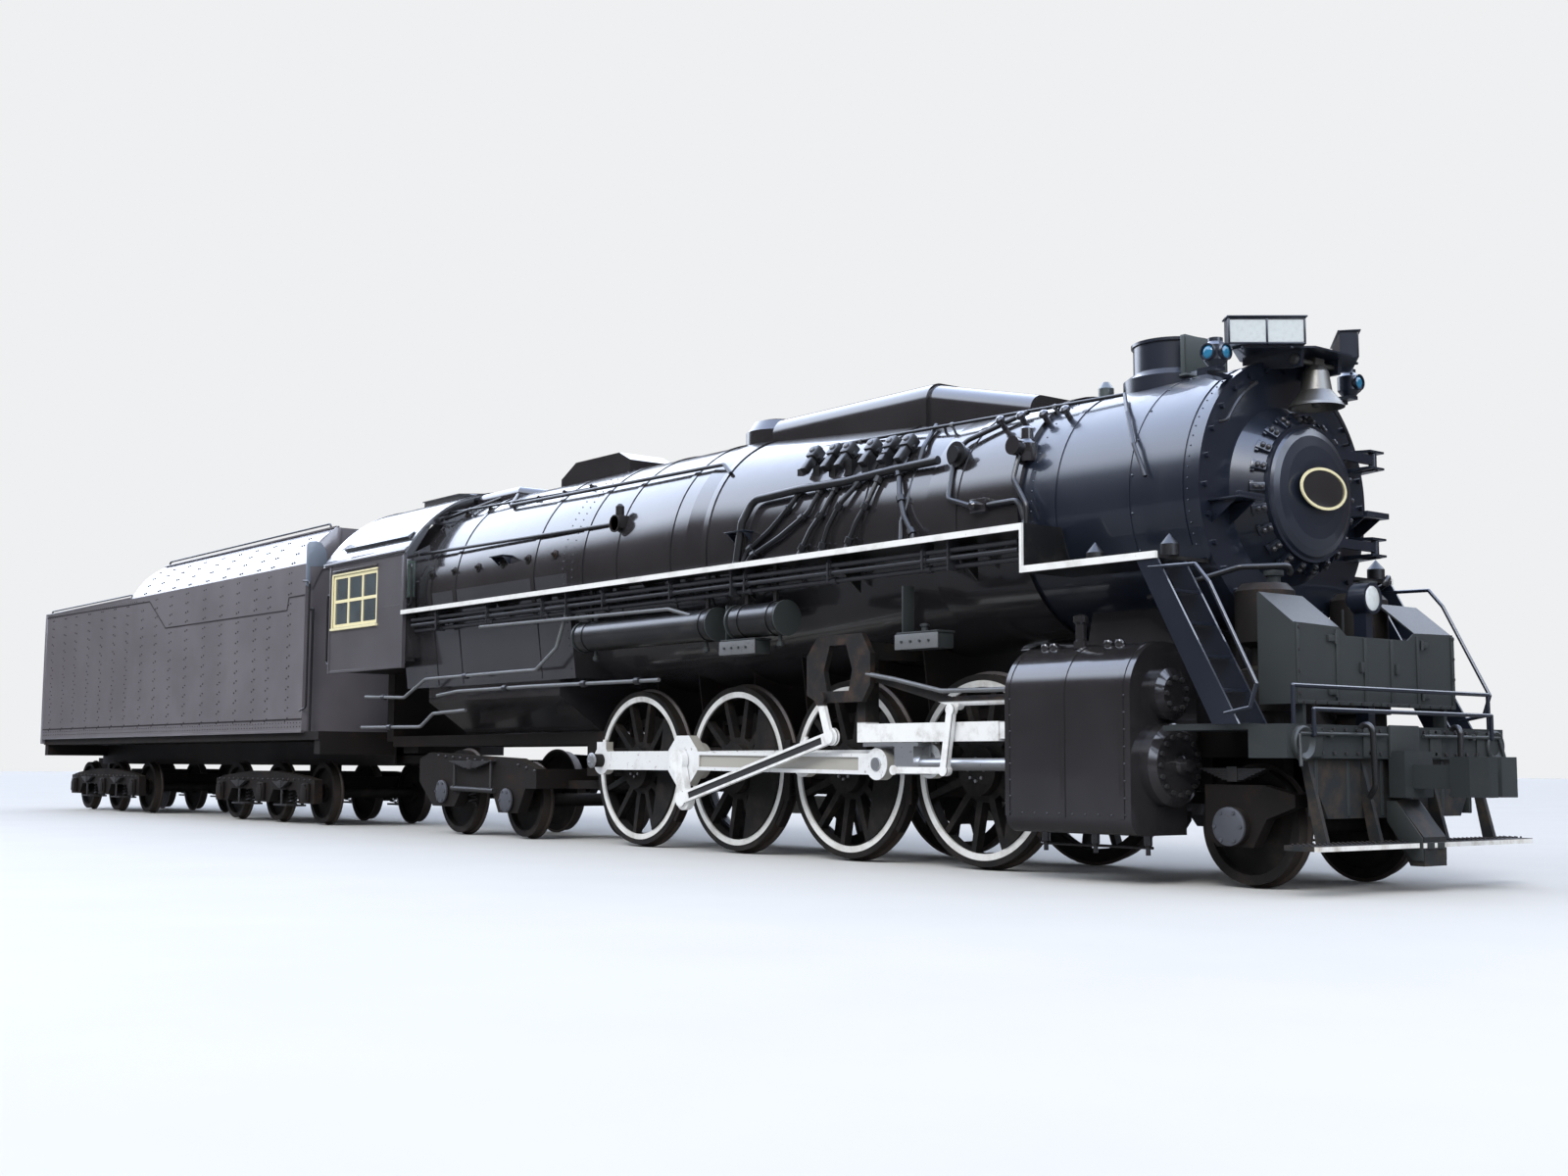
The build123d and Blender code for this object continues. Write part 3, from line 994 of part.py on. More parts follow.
def tender():
    x0, x1 = TENDER_X
    sill = block((x0 - 90, x1), (-330, 330), (TRUCK_TOP + SEAT_GAP, TANK_Z[0] - 120))
    pocket = block((TENDER_PIN_X - 260, x1 + 9), (-300, 300), (0, DRAWBAR_Z + 200))
    pin = rod((TENDER_PIN_X, 0, DRAWBAR_Z - 90), (TENDER_PIN_X, 0, DRAWBAR_Z + 209), PIVOT_PIN_R)
    floor = block((x0, x1), (-TANK_Y + 60, TANK_Y - 60), (TANK_Z[0] - 120, TANK_Z[0]))
    add("tender_frame", sill - pocket + pin + coupler(x0 - 90, COUPLER_REAR_X, -1), floor)
    for x in (x0, x1 - 200):
        for s in (-1, 1):
            y = tuple(sorted((s * 330, s * (TANK_Y - 90))))
            add("tender_frame", block((x, x + 200), y, (TANK_Z[0] - 330, TANK_Z[0] - 120)))
    t0, t1 = TANK_X
    y = TANK_Y
    low = block((t0, t1), (-y, y), TANK_Z)
    b0, b1 = BUNKER_X
    wall = BUNKER_WALL_Y + 60
    section = make_face(
        Polyline((-y, TANK_Z[1] - 300), (y, TANK_Z[1] - 300), (y, TANK_Z[1] - 120))
        + ThreePointArc((y, TANK_Z[1] - 120), (y - 130, TANK_Z[1] + 250), (wall, BUNKER_TOP))
        + Line((wall, BUNKER_TOP), (-wall, BUNKER_TOP))
        + ThreePointArc((-wall, BUNKER_TOP), (-y + 130, TANK_Z[1] + 250), (-y, TANK_Z[1] - 120))
        + Line((-y, TANK_Z[1] - 120), (-y, TANK_Z[1] - 300)))
    high = extrude(Plane.YZ.offset(b0 - BUNKER_SLOPE) * section, b1 - b0 + BUNKER_SLOPE)
    wedge = slab_y([(b0 - BUNKER_SLOPE - 9, TANK_Z[1]), (b0 - BUNKER_SLOPE, TANK_Z[1]), (b0, BUNKER_TOP),
                    (b0, BUNKER_TOP + 99), (b0 - BUNKER_SLOPE - 9, BUNKER_TOP + 99)], (-2 * y, 2 * y))
    c0, c1 = COAL_X
    hollow = slab_y([(c0, BUNKER_TOP + 9), (c0, 3700), (c1, COAL_FLOOR_Z), (b1 - 120, COAL_FLOOR_Z),
                     (b1 - 120, BUNKER_TOP + 9)], (-BUNKER_WALL_Y, BUNKER_WALL_Y))
    w0, w1 = WELL_X
    top = TANK_Z[1] + WELL_RIM
    rim = block((w0 - 30, w1 + 30), (-WELL_Y - 30, WELL_Y + 30), (TANK_Z[1] - 9, top))
    well = block(WELL_X, (-WELL_Y, WELL_Y), (TANK_Z[1] - WELL_DEPTH, top + 9))
    bunker = high - wedge - hollow - block((t0 - 9, t1 + 9), (-2 * y, 2 * y), (0, TANK_Z[1]))
    add("tender_tank", low + rim - well - hollow, bunker)
    lid = block((w0 - 50, w1 + 50), (-WELL_Y - 50, WELL_Y + 50), (top + SEAT_GAP, top + 24))
    z = top + SEAT_GAP + HINGE_R
    add("tender_water_hatch", lid + rod((w1 + 50, -200, z), (w1 + 50, 200, z), HINGE_R))
    for s in (-1, 1):
        x = TANK_X[1] + 90
        bar = rail([(x, s * (y - 90), TANK_Z[0]), (x, s * (y - 90), 3200), (TANK_X[1], s * (y - 90), 3200)], 18)
        add("tender_ladders_and_rails", bar)
    bar = None
    for yy in (-1450, -1050):
        piece = block((TANK_X[0] - 85, TANK_X[0] - 55), (yy, yy + 30), (TANK_Z[0] - 60, TANK_Z[1] + 20))
        piece = piece + block((TANK_X[0] - 60, TANK_X[0]), (yy, yy + 30), (TANK_Z[1] - 140, TANK_Z[1] - 110))
        piece = piece + block((TANK_X[0] - 60, TANK_X[0]), (yy, yy + 30), (TANK_Z[0] + 100, TANK_Z[0] + 130))
        bar = piece if bar is None else bar + piece
    for i in range(7):
        z = TANK_Z[0] + 60 + i * 370
        bar = bar + rod((TANK_X[0] - 70, -1450 + 15, z), (TANK_X[0] - 70, -1035, z), 13)
    add("tender_ladders_and_rails", bar)
    for k, (x, name) in enumerate(zip(TENDER_TRUCK_X, ("tender_truck_front", "tender_truck_rear"))):
        tender_truck(name, x)
        for i in range(3):
            number = 3 * k + i + 1
            wheelset("tender_wheelset_%d" % number, x + (1 - i) * TENDER_AXLE_PITCH, SMALL_R, SMALL_AXLE_R, 1080)
    bar = block((TENDER_PIN_X, ENGINE_PIN_X), (-130, 130), (DRAWBAR_Z - 60, DRAWBAR_Z + 60))
    for x in (TENDER_PIN_X, ENGINE_PIN_X):
        bar = bar + rod((x, 0, DRAWBAR_Z - 60), (x, 0, DRAWBAR_Z + 60), 200)
        bar = bar - rod((x, 0, DRAWBAR_Z - 99), (x, 0, DRAWBAR_Z + 99), PIVOT_PIN_R + RUN_GAP)
    add("drawbar", bar)


def build():
    engine_bed()
    cylinders()
    boiler()
    waist_sheets()
    brake_rigging()
    smokebox()
    stack_and_domes()
    cab()
    running_boards()
    motion(RIGHT)
    motion(LEFT)
    yoke()
    front_end()
    handrails()
    side_pipes()
    boiler_fittings()
    lead_truck()
    trailing_truck()
    for i in range(4):
        driver_wheelset(i)
    tender()


build()
os.makedirs("parts", exist_ok=True)
for node, shapes in NODES.items():
    solids = []
    for shape in shapes:
        for piece in shape if isinstance(shape, list) else [shape]:
            solids += (Pos(SHIFT_X, 0, 0) * piece).solids()
    export_step(Compound(children=solids) if len(solids) > 1 else solids[0], "parts/%s.step" % node)
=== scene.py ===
import json
import math
import bmesh
import bpy
from mathutils import Matrix, Vector

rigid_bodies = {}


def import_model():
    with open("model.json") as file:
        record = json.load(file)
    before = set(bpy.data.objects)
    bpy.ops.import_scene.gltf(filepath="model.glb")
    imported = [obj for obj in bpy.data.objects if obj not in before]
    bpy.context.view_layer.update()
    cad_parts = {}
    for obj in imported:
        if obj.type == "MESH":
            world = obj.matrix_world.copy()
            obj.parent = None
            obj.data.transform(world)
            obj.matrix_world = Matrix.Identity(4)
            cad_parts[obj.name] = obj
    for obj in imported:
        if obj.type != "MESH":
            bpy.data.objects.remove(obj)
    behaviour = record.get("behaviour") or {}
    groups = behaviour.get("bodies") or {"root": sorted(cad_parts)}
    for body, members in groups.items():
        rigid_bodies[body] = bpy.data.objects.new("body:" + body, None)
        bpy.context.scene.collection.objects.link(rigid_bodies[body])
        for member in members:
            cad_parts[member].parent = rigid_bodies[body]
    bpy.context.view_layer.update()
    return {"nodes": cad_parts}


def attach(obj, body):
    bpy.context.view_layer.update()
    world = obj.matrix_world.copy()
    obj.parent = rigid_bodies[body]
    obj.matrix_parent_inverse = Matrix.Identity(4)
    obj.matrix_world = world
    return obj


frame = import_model()
NODES = frame["nodes"]

# Stations along the row, in metres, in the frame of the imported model
ENGINE, TENDER_BODY = "engine", "tender"
BOILER_Z = 3.184
SMOKEBOX_R, BARREL_R, FIREBOX_R = 1.11, 1.14, 1.39
FRONT_X = 13.769
DRIVER_X = (11.0, 9.1458, 7.2916, 5.4374)
DRIVER_Z, DRIVER_R, DRIVER_RING = 0.9051, 0.8765, (0.757, 0.82)
LEAD_X, TRAILER_X = 13.96, (2.86, 1.158)
SMALL_Z, SMALL_R = 0.4858, 0.4572
TRAILER_Z, TRAILER_R = 0.5747, 0.5461
TENDER_WHEEL_X = (-3.2, -4.9, -6.6, -10.9, -12.6, -14.3)
UP, DOWN, AHEAD, BACK, OUT = (0, 0, 1), (0, 0, -1), (1, 0, 0), (-1, 0, 0), (0, 1, 0)


# Shader maths as plain expressions

class Val:
    """A number or colour that varies over a surface."""

    def __init__(self, nodes, socket):
        self.nodes, self.socket = nodes, socket

    def _math(self, operation, *values):
        return self.nodes.node("ShaderNodeMath", {"operation": operation}, values)[0]

    def __add__(self, other):
        return self._math("ADD", self, other)

    def __radd__(self, other):
        return self._math("ADD", other, self)

    def __sub__(self, other):
        return self._math("SUBTRACT", self, other)

    def __rsub__(self, other):
        return self._math("SUBTRACT", other, self)

    def __mul__(self, other):
        return self._math("MULTIPLY", self, other)

    def __rmul__(self, other):
        return self._math("MULTIPLY", other, self)

    def __pow__(self, other):
        return self._math("POWER", self, other)

    def __abs__(self):
        return self._math("ABSOLUTE", self)

    def clamp(self):
        return self.nodes.node("ShaderNodeClamp", {}, [self, 0.0, 1.0])[0]

    def ramp(self, low, high):
        """0 below low, 1 above high, smooth between them."""
        settings = {"interpolation_type": "SMOOTHSTEP"}
        return self.nodes.node("ShaderNodeMapRange", settings, [self, low, high, 0.0, 1.0])[0]


class Nodes:
    """The node tree of a material or of the world."""

    def __init__(self, tree):
        self.tree = tree

    def feed(self, socket, value):
        """A link into the socket, or a constant on it; a colour gets its alpha."""
        if isinstance(value, Val):
            self.tree.links.new(value.socket, socket)
        elif isinstance(value, tuple) and socket.type == "RGBA":
            socket.default_value = (*value, 1.0)
        elif value is not None:
            socket.default_value = value

    def node(self, kind, settings, values, output=None):
        node = self.tree.nodes.new(kind)
        for key, value in settings.items():
            setattr(node, key, value)
        if isinstance(values, dict):
            pairs = [(node.inputs[key], value) for key, value in values.items()]
        else:
            pairs = zip([s for s in node.inputs if s.enabled], values)
        for socket, value in pairs:
            self.feed(socket, value)
        if output:
            return Val(self, node.outputs[output])
        return [Val(self, s) for s in node.outputs if s.enabled]

    def mix(self, amount, a, b):
        return self.node("ShaderNodeMix", {"data_type": "RGBA"}, [amount, a, b])[0]


class Paint(Nodes):
    """One procedural material, with a Principled surface."""

    def __init__(self, name):
        self.material = bpy.data.materials.new(name)
        self.material.use_nodes = True
        super().__init__(self.material.node_tree)
        self.surface = self.tree.nodes["Principled BSDF"]
        self.place = self.node("ShaderNodeTexCoord", {}, [], "Object")

    def axes(self):
        return self.node("ShaderNodeSeparateXYZ", {}, [self.place])

    def stretched(self, x, y, z):
        return self.node("ShaderNodeMapping", {}, {"Vector": self.place, "Scale": (x, y, z)}, "Vector")

    def noise(self, scale, detail=4.0, rough=0.55, place=None):
        values = {"Vector": place or self.place, "Scale": scale, "Detail": detail, "Roughness": rough}
        return self.node("ShaderNodeTexNoise", {}, values, "Fac")

    def upward(self):
        """How far the surface faces up, from -1 to 1."""
        normal = self.node("ShaderNodeNewGeometry", {}, [], "Normal")
        return self.node("ShaderNodeSeparateXYZ", {}, [normal])[2]

    def bump(self, height, distance, strength=0.3):
        values = {"Height": height, "Distance": distance, "Strength": strength}
        self.feed(self.surface.inputs["Normal"], self.node("ShaderNodeBump", {}, values, "Normal"))

    def set(self, **values):
        names = {"colour": "Base Color", "rough": "Roughness", "metal": "Metallic", "coat": "Coat Weight",
                 "coat_rough": "Coat Roughness", "specular": "Specular IOR Level", "glow": "Emission Color",
                 "glow_strength": "Emission Strength", "through": "Transmission Weight"}
        for key, value in values.items():
            self.feed(self.surface.inputs[names[key]], value)
        return self.material


def faded(colour, share, other=(0.0, 0.0, 0.0), amount=0.0):
    """A colour times a share, with an amount of another colour added."""
    return tuple(share * c + amount * d for c, d in zip(colour, other))


def enamel(name, colour, dust_colour, rough, dust, streaks, coat=0.6, specular=0.5):
    """Gloss enamel with wavy plate, streaks of grime and dust on what faces up."""
    p = Paint(name)
    broad = p.noise(0.9, 3.0)
    grime = p.noise(2.2, 6.0, 0.65, p.stretched(3.0, 3.0, 0.35))
    fine = p.noise(38.0, 5.0, 0.6)
    up = p.upward().ramp(0.25, 0.95)
    settled = (up * dust * p.noise(5.0, 6.0, 0.65).ramp(0.3, 0.75)).clamp()
    run = grime.ramp(0.52, 0.8) * streaks
    tint = p.mix(broad.ramp(0.3, 0.7), colour, tuple(c * 1.25 + 0.004 for c in colour))
    tint = p.mix(run, tint, faded(colour, 0.7, dust_colour, 0.3))
    tint = p.mix(settled, tint, dust_colour)
    p.bump(p.noise(1.3, 2.0), 0.012)
    return p.set(colour=tint, rough=rough + 0.08 * fine + 0.3 * settled + 0.12 * run,
                 coat=coat * (1.0 - 0.8 * settled), coat_rough=0.06, specular=specular)


def foundry(name, colour, rust, amount, rough=0.62, specular=0.2):
    """Matt black over castings, with rust coming through and a coarse skin."""
    p = Paint(name)
    patch = p.noise(3.1, 7.0, 0.68).ramp(0.5, 0.74) * amount
    fine = p.noise(55.0, 4.0, 0.6)
    low = p.noise(1.1, 3.0)
    tint = p.mix(low, colour, faded(colour, 1.9))
    tint = p.mix(patch * fine.ramp(0.35, 0.65), tint, rust)
    tint = p.mix(p.upward().ramp(0.4, 1.0) * 0.3, tint, (0.08, 0.07, 0.058))
    p.bump(fine, 0.0012)
    return p.set(colour=tint, rough=rough + 0.18 * fine - 0.1 * low, specular=specular)


def brushed(name, colour, spots, rough, metal=0.0, wear=0.5):
    """Paint or bare metal on thin parts: small chips, darker spots and a fine grain."""
    p = Paint(name)
    chip = p.noise(24.0, 6.0, 0.7).ramp(0.6, 0.68) * wear
    soot = p.noise(4.0, 5.0, 0.6, p.stretched(1.0, 1.0, 0.6)).ramp(0.45, 0.8) * wear
    grain = p.noise(90.0, 3.0, 0.5)
    tint = p.mix(soot * 0.6, colour, faded(colour, 0.55, spots, 0.3))
    tint = p.mix(chip, tint, spots)
    p.bump(grain - 0.8 * chip, 0.0012, 0.4)
    return p.set(colour=tint, rough=rough + 0.2 * grain + 0.15 * chip, metal=metal)


def glass(name, colour, through, glow=0.0):
    """Thick lens or pane glass with a ribbed, slightly dirty face."""
    p = Paint(name)
    film = p.noise(30.0, 5.0, 0.6)
    p.bump(film, 0.0006)
    tint = p.mix(film.ramp(0.4, 0.8) * 0.5, colour, faded(colour, 0.75))
    # A lens given glow shows a faint painted glow in its own colour.
    return p.set(colour=tint, rough=0.08 + 0.12 * film, through=through, coat=0.5, glow=colour,
                 glow_strength=glow)


ENAMEL = enamel("gloss_black_enamel", (0.0165, 0.0155, 0.0175), (0.055, 0.052, 0.048), 0.13, 0.22, 0.4)
# The roof's black and its dust colour are lighter than on the other enamel, as a painted sheen of the sky on
# the roof.
ROOF = enamel("roof_black", (0.045, 0.047, 0.052), (0.16, 0.16, 0.16), 0.2, 0.2, 0.3, 1.0, 1.0)
SMOKEBOX = enamel("smokebox_black", (0.006, 0.009, 0.017), (0.045, 0.044, 0.042), 0.27, 0.25, 0.4)
# The tender's black is made mid-grey: weathered paint, with a painted sheen of the sky on it as well.
TENDER = enamel("weathered_tender_black", (0.122, 0.114, 0.128), (0.28, 0.25, 0.23), 0.28, 0.1, 0.5, 0.9,
                1.0)
# The cab sides' black is made greyer than the other enamel: weathered paint, with a painted sheen of the sky
# on it as well.
CAB = enamel("weathered_cab_black", (0.062, 0.058, 0.066), (0.18, 0.16, 0.15), 0.32, 0.25, 0.7)
PANEL = enamel("stack_panel_grey", (0.045, 0.055, 0.056), (0.09, 0.09, 0.09), 0.34, 0.2, 0.5)
SHEET = enamel("pale_front_sheet", (0.16, 0.19, 0.24), (0.24, 0.25, 0.27), 0.4, 0.2, 0.5)
FRAMES = foundry("frame_black", (0.0085, 0.0072, 0.0066), (0.06, 0.028, 0.014), 0.6, 0.5)
SHIELD = foundry("shield_grey_black", (0.02, 0.023, 0.0235), (0.06, 0.055, 0.045), 0.3, 0.42, 0.4)
NOSE = foundry("nose_grey_black", (0.019, 0.022, 0.023), (0.06, 0.055, 0.045), 0.4, 0.5)
CREAM = brushed("cream_sash_paint", (0.72, 0.66, 0.42), (0.1, 0.07, 0.04), 0.45, 0.0, 0.4)
PIPE = brushed("worn_grey_pipe", (0.16, 0.165, 0.17), (0.04, 0.035, 0.03), 0.36, 0.4, 0.7)
RUN_PIPE = brushed("worn_black_pipe", (0.034, 0.035, 0.04), (0.09, 0.08, 0.07), 0.22, 0.35)
DARK_PIPE = brushed("black_pipe", (0.01, 0.0102, 0.011), (0.05, 0.045, 0.04), 0.24)
STEEL_DARK = brushed("darkened_steel", (0.06, 0.06, 0.062), (0.09, 0.05, 0.03), 0.34, 0.6)
WHITE = brushed("white_trim_paint", (0.72, 0.73, 0.73), (0.14, 0.11, 0.09), 0.42)
STEEL = brushed("oiled_steel", (0.46, 0.47, 0.48), (0.1, 0.08, 0.06), 0.3, 0.9, 0.6)
BELL = brushed("dull_bell_metal", (0.17, 0.165, 0.15), (0.09, 0.07, 0.045), 0.3, 0.9)
SIGNAL_RED = brushed("valve_wheel_red", (0.32, 0.025, 0.02), (0.05, 0.02, 0.015), 0.4)
COVER = brushed("journal_cover_grey", (0.075, 0.08, 0.095), (0.06, 0.045, 0.035), 0.4, 0.2, 0.6)
# The blue-green lens has a faint emission: a painted glow in the glass.
LENS = glass("blue_green_lens", (0.02, 0.16, 0.3), 0.1, 0.06)
CLEAR = glass("headlight_lens", (0.82, 0.86, 0.88), 0.35)
FROST = glass("frosted_pane", (0.5, 0.54, 0.56), 0.0)
WINDOW = glass("window_glass", (0.16, 0.22, 0.2), 0.55)


def edged_boards(name):
    """Black running boards with the outer edge strip painted white."""
    p = Paint(name)
    x, y, z = p.axes()
    edge = abs(y).ramp(1.5845, 1.5865) * z.ramp(2.54, 2.55)
    fine = p.noise(40.0, 5.0, 0.6)
    dirt = p.noise(5.0, 6.0, 0.65, p.stretched(0.6, 1.0, 1.0)).ramp(0.45, 0.8)
    dark = p.mix(dirt, (0.006, 0.006, 0.0065), (0.03, 0.028, 0.025))
    white = p.mix(dirt * 0.5 + fine.ramp(0.64, 0.72) * 0.5, (0.74, 0.745, 0.74), (0.3, 0.27, 0.24))
    p.bump(fine, 0.0008)
    return p.set(colour=p.mix(edge, dark, white), rough=0.3 + 0.15 * fine, coat=0.4, coat_rough=0.1)


def footboards(name):
    """Frame black with white front edges on the footboards."""
    p = Paint(name)
    x, y, z = p.axes()
    edge = x.ramp(14.985, 14.995) * z.ramp(0.335, 0.342) * (1.0 - z.ramp(0.372, 0.379))
    fine = p.noise(40.0, 5.0, 0.6)
    dirt = p.noise(7.0, 6.0, 0.65).ramp(0.4, 0.75)
    dark = p.mix(dirt, (0.016, 0.018, 0.019), (0.045, 0.034, 0.026))
    white = p.mix(dirt * 0.6, (0.74, 0.745, 0.74), (0.25, 0.2, 0.15))
    p.bump(fine, 0.0012)
    return p.set(colour=p.mix(edge, dark, white), rough=0.55 + 0.15 * fine, specular=0.25)


def sash(name):
    """Cream sash bars round panes painted dark, as painted shade of the cab inside seen through the glass.
    """
    p = Paint(name)
    pane = 1.0 - abs(p.axes()[1]).ramp(1.5525, 1.5535)
    chip = p.noise(24.0, 6.0, 0.7).ramp(0.6, 0.68) * 0.4
    grain = p.noise(60.0, 3.0)
    cream = p.mix(chip, (0.74, 0.67, 0.42), (0.12, 0.08, 0.05))
    # The panes are painted dark blue-grey: painted shade of the cab's inside behind the glass.
    dark = p.mix(p.noise(2.5, 4.0), (0.035, 0.045, 0.052), (0.09, 0.11, 0.125))
    p.bump(grain, 0.0008)
    return p.set(colour=p.mix(pane, cream, dark), rough=0.42 - 0.34 * pane + 0.1 * grain, coat=0.5 * pane)


def gear_paint(name, top):
    """Gear that is white below one height, with painted shade darkening the flute in its rod, and black
    above.
    """
    p = Paint(name)
    x, y, z = p.axes()
    low = 1.0 - z.ramp(top - 0.01, top + 0.01)
    flute = abs(y).ramp(1.331, 1.333) * (1.0 - abs(y).ramp(1.339, 1.341)) * low
    fine = p.noise(40.0, 5.0, 0.6)
    dirt = p.noise(6.0, 6.0, 0.65).ramp(0.42, 0.8)
    dark = p.mix(dirt, (0.01, 0.0095, 0.009), (0.05, 0.03, 0.02))
    white = p.mix(dirt * 0.6, (0.74, 0.75, 0.755), (0.26, 0.22, 0.18))
    # The flute in the rod is painted near black: painted shade in the recess.
    white = p.mix(flute, white, (0.03, 0.03, 0.032))
    p.bump(fine, 0.0012)
    return p.set(colour=p.mix(low, dark, white), rough=0.45 + 0.2 * fine, specular=0.35)


def rod_paint(name, face_y):
    """White rods whose sunk flutes are a darker grey, with oil round the pins."""
    p = Paint(name)
    raised = abs(p.axes()[1]).ramp(face_y - 0.006, face_y - 0.002)
    grain = p.noise(70.0, 4.0, 0.6)
    chip = p.noise(17.0, 6.0, 0.7).ramp(0.6, 0.67) * 0.7
    oil = p.noise(3.3, 5.0, 0.65).ramp(0.5, 0.85)
    tint = p.mix(oil * 0.55, (0.74, 0.75, 0.76), (0.3, 0.29, 0.27))
    tint = p.mix(chip, tint, (0.16, 0.12, 0.09))
    # The sunk flutes are tinted a darker grey than the raised faces.
    tint = p.mix(raised, (0.4, 0.385, 0.35), tint)
    p.bump(grain, 0.001, 0.4)
    return p.set(colour=tint, rough=0.36 + 0.25 * grain, metal=0.15)


def wheel_paint(name, x, z, radius, ring=None):
    """Black wheels with a worn tread and, on the drivers, a white ring on the tyre's face."""
    p = Paint(name)
    px, py, pz = p.axes()
    far = ((px - x) * (px - x) + (pz - z) * (pz - z)) ** 0.5
    tread = far.ramp(radius - 0.004, radius - 0.001) * (1.0 - abs(py).ramp(0.815, 0.8175))
    fine = p.noise(48.0, 5.0, 0.6)
    dirt = p.noise(4.5, 6.0, 0.65).ramp(0.4, 0.8)
    tint = p.mix(dirt, (0.008, 0.0075, 0.0072), (0.026, 0.02, 0.016))
    if ring:
        inner, outer = ring
        paint = p.mix(dirt * 0.5 + fine.ramp(0.62, 0.72) * 0.4, (0.66, 0.66, 0.65), (0.17, 0.14, 0.115))
        white = far.ramp(inner - 0.002, inner + 0.001) * (1.0 - far.ramp(outer - 0.003, outer))
        tint = p.mix(white * abs(py).ramp(0.79, 0.8), tint, paint)
    tint = p.mix(tread, tint, (0.1, 0.085, 0.075))
    p.bump(fine, 0.0012)
    return p.set(colour=tint, rough=0.55 + 0.2 * fine - 0.2 * tread, metal=tread * 0.8, specular=0.25)


# What each carried-over node is finished with
FINISHES = [
    (ENAMEL, "boiler_barrel firebox_shell sand_dome steam_dome_and_turrets cab_front_wall cylinder_casting"),
    (SMOKEBOX, "smokebox_shell smokebox_door smokestack bell_yoke front_lamps front_ladders_and_rails"),
    (CAB, "cab_left_side cab_right_side"),
    (ROOF, "cab_roof cab_roof_hatch"),
    (TENDER, "tender_tank tender_water_hatch"),
    (FRAMES, "engine_bed cab_floor air_pumps brake_rigging lead_truck_frame trailing_truck_frame"),
    (FRAMES, "tender_frame tender_truck_front tender_truck_rear drawbar"),
    (NOSE, "pilot_beam front_coupler"),
    (SHIELD, "pump_shields"),
    (DARK_PIPE, "boiler_handrails boiler_fittings tender_ladders_and_rails"),
    (RUN_PIPE, "side_pipes"),
    (STEEL, "crosshead_right crosshead_left"),
    (BELL, "bell"),
    (edged_boards("board_black_with_white_edge"), "running_boards"),
    (footboards("pilot_black_with_white_edges"), "pilot_and_footboards"),
    (gear_paint("valve_gear_paint", 1.51), "valve_gear"),
    (gear_paint("crosshead_guide_paint", 1.345), "crosshead_guides"),
    (sash("cream_sashes_dark_panes"), "cab_windows"),
    (rod_paint("white_side_rod", 1.07), "side_rod_right side_rod_left"),
    (rod_paint("white_main_rod", 1.225), "main_rod_right main_rod_left"),
    (wheel_paint("lead_wheel_paint", LEAD_X, SMALL_Z, SMALL_R), "lead_wheelset"),
    (wheel_paint("trailing_paint_front", TRAILER_X[0], SMALL_Z, SMALL_R), "trailing_wheelset_front"),
    (wheel_paint("trailing_paint_rear", TRAILER_X[1], TRAILER_Z, TRAILER_R), "trailing_wheelset_rear"),
]
for number, x in enumerate(DRIVER_X, 1):
    paint = wheel_paint("driver_paint_%d" % number, x, DRIVER_Z, DRIVER_R, DRIVER_RING)
    FINISHES.append((paint, "driver_wheelset_%d" % number))
for number, x in enumerate(TENDER_WHEEL_X, 1):
    paint = wheel_paint("tender_wheel_paint_%d" % number, x, SMALL_Z, SMALL_R)
    FINISHES.append((paint, "tender_wheelset_%d" % number))
for material, names in FINISHES:
    for name in names.split():
        slots = NODES[name].data.materials
        slots.clear()
        slots.append(material)


# Mesh making
CORNER_ANGLE = 0.4
BEVEL_STEPS, BEVEL_FULLNESS = 2, 0.6


def put(name, mesh, material, body, sharp=32):
    """A finished piece: its mesh in place, its material on it, riding with its body."""
    mesh.name = name
    mesh.materials.clear()
    mesh.materials.append(material)
    mesh.shade_smooth()
    mesh.set_sharp_from_angle(angle=math.radians(sharp))
    o = bpy.data.objects.new(name, mesh)
    bpy.context.collection.objects.link(o)
    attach(o, body)


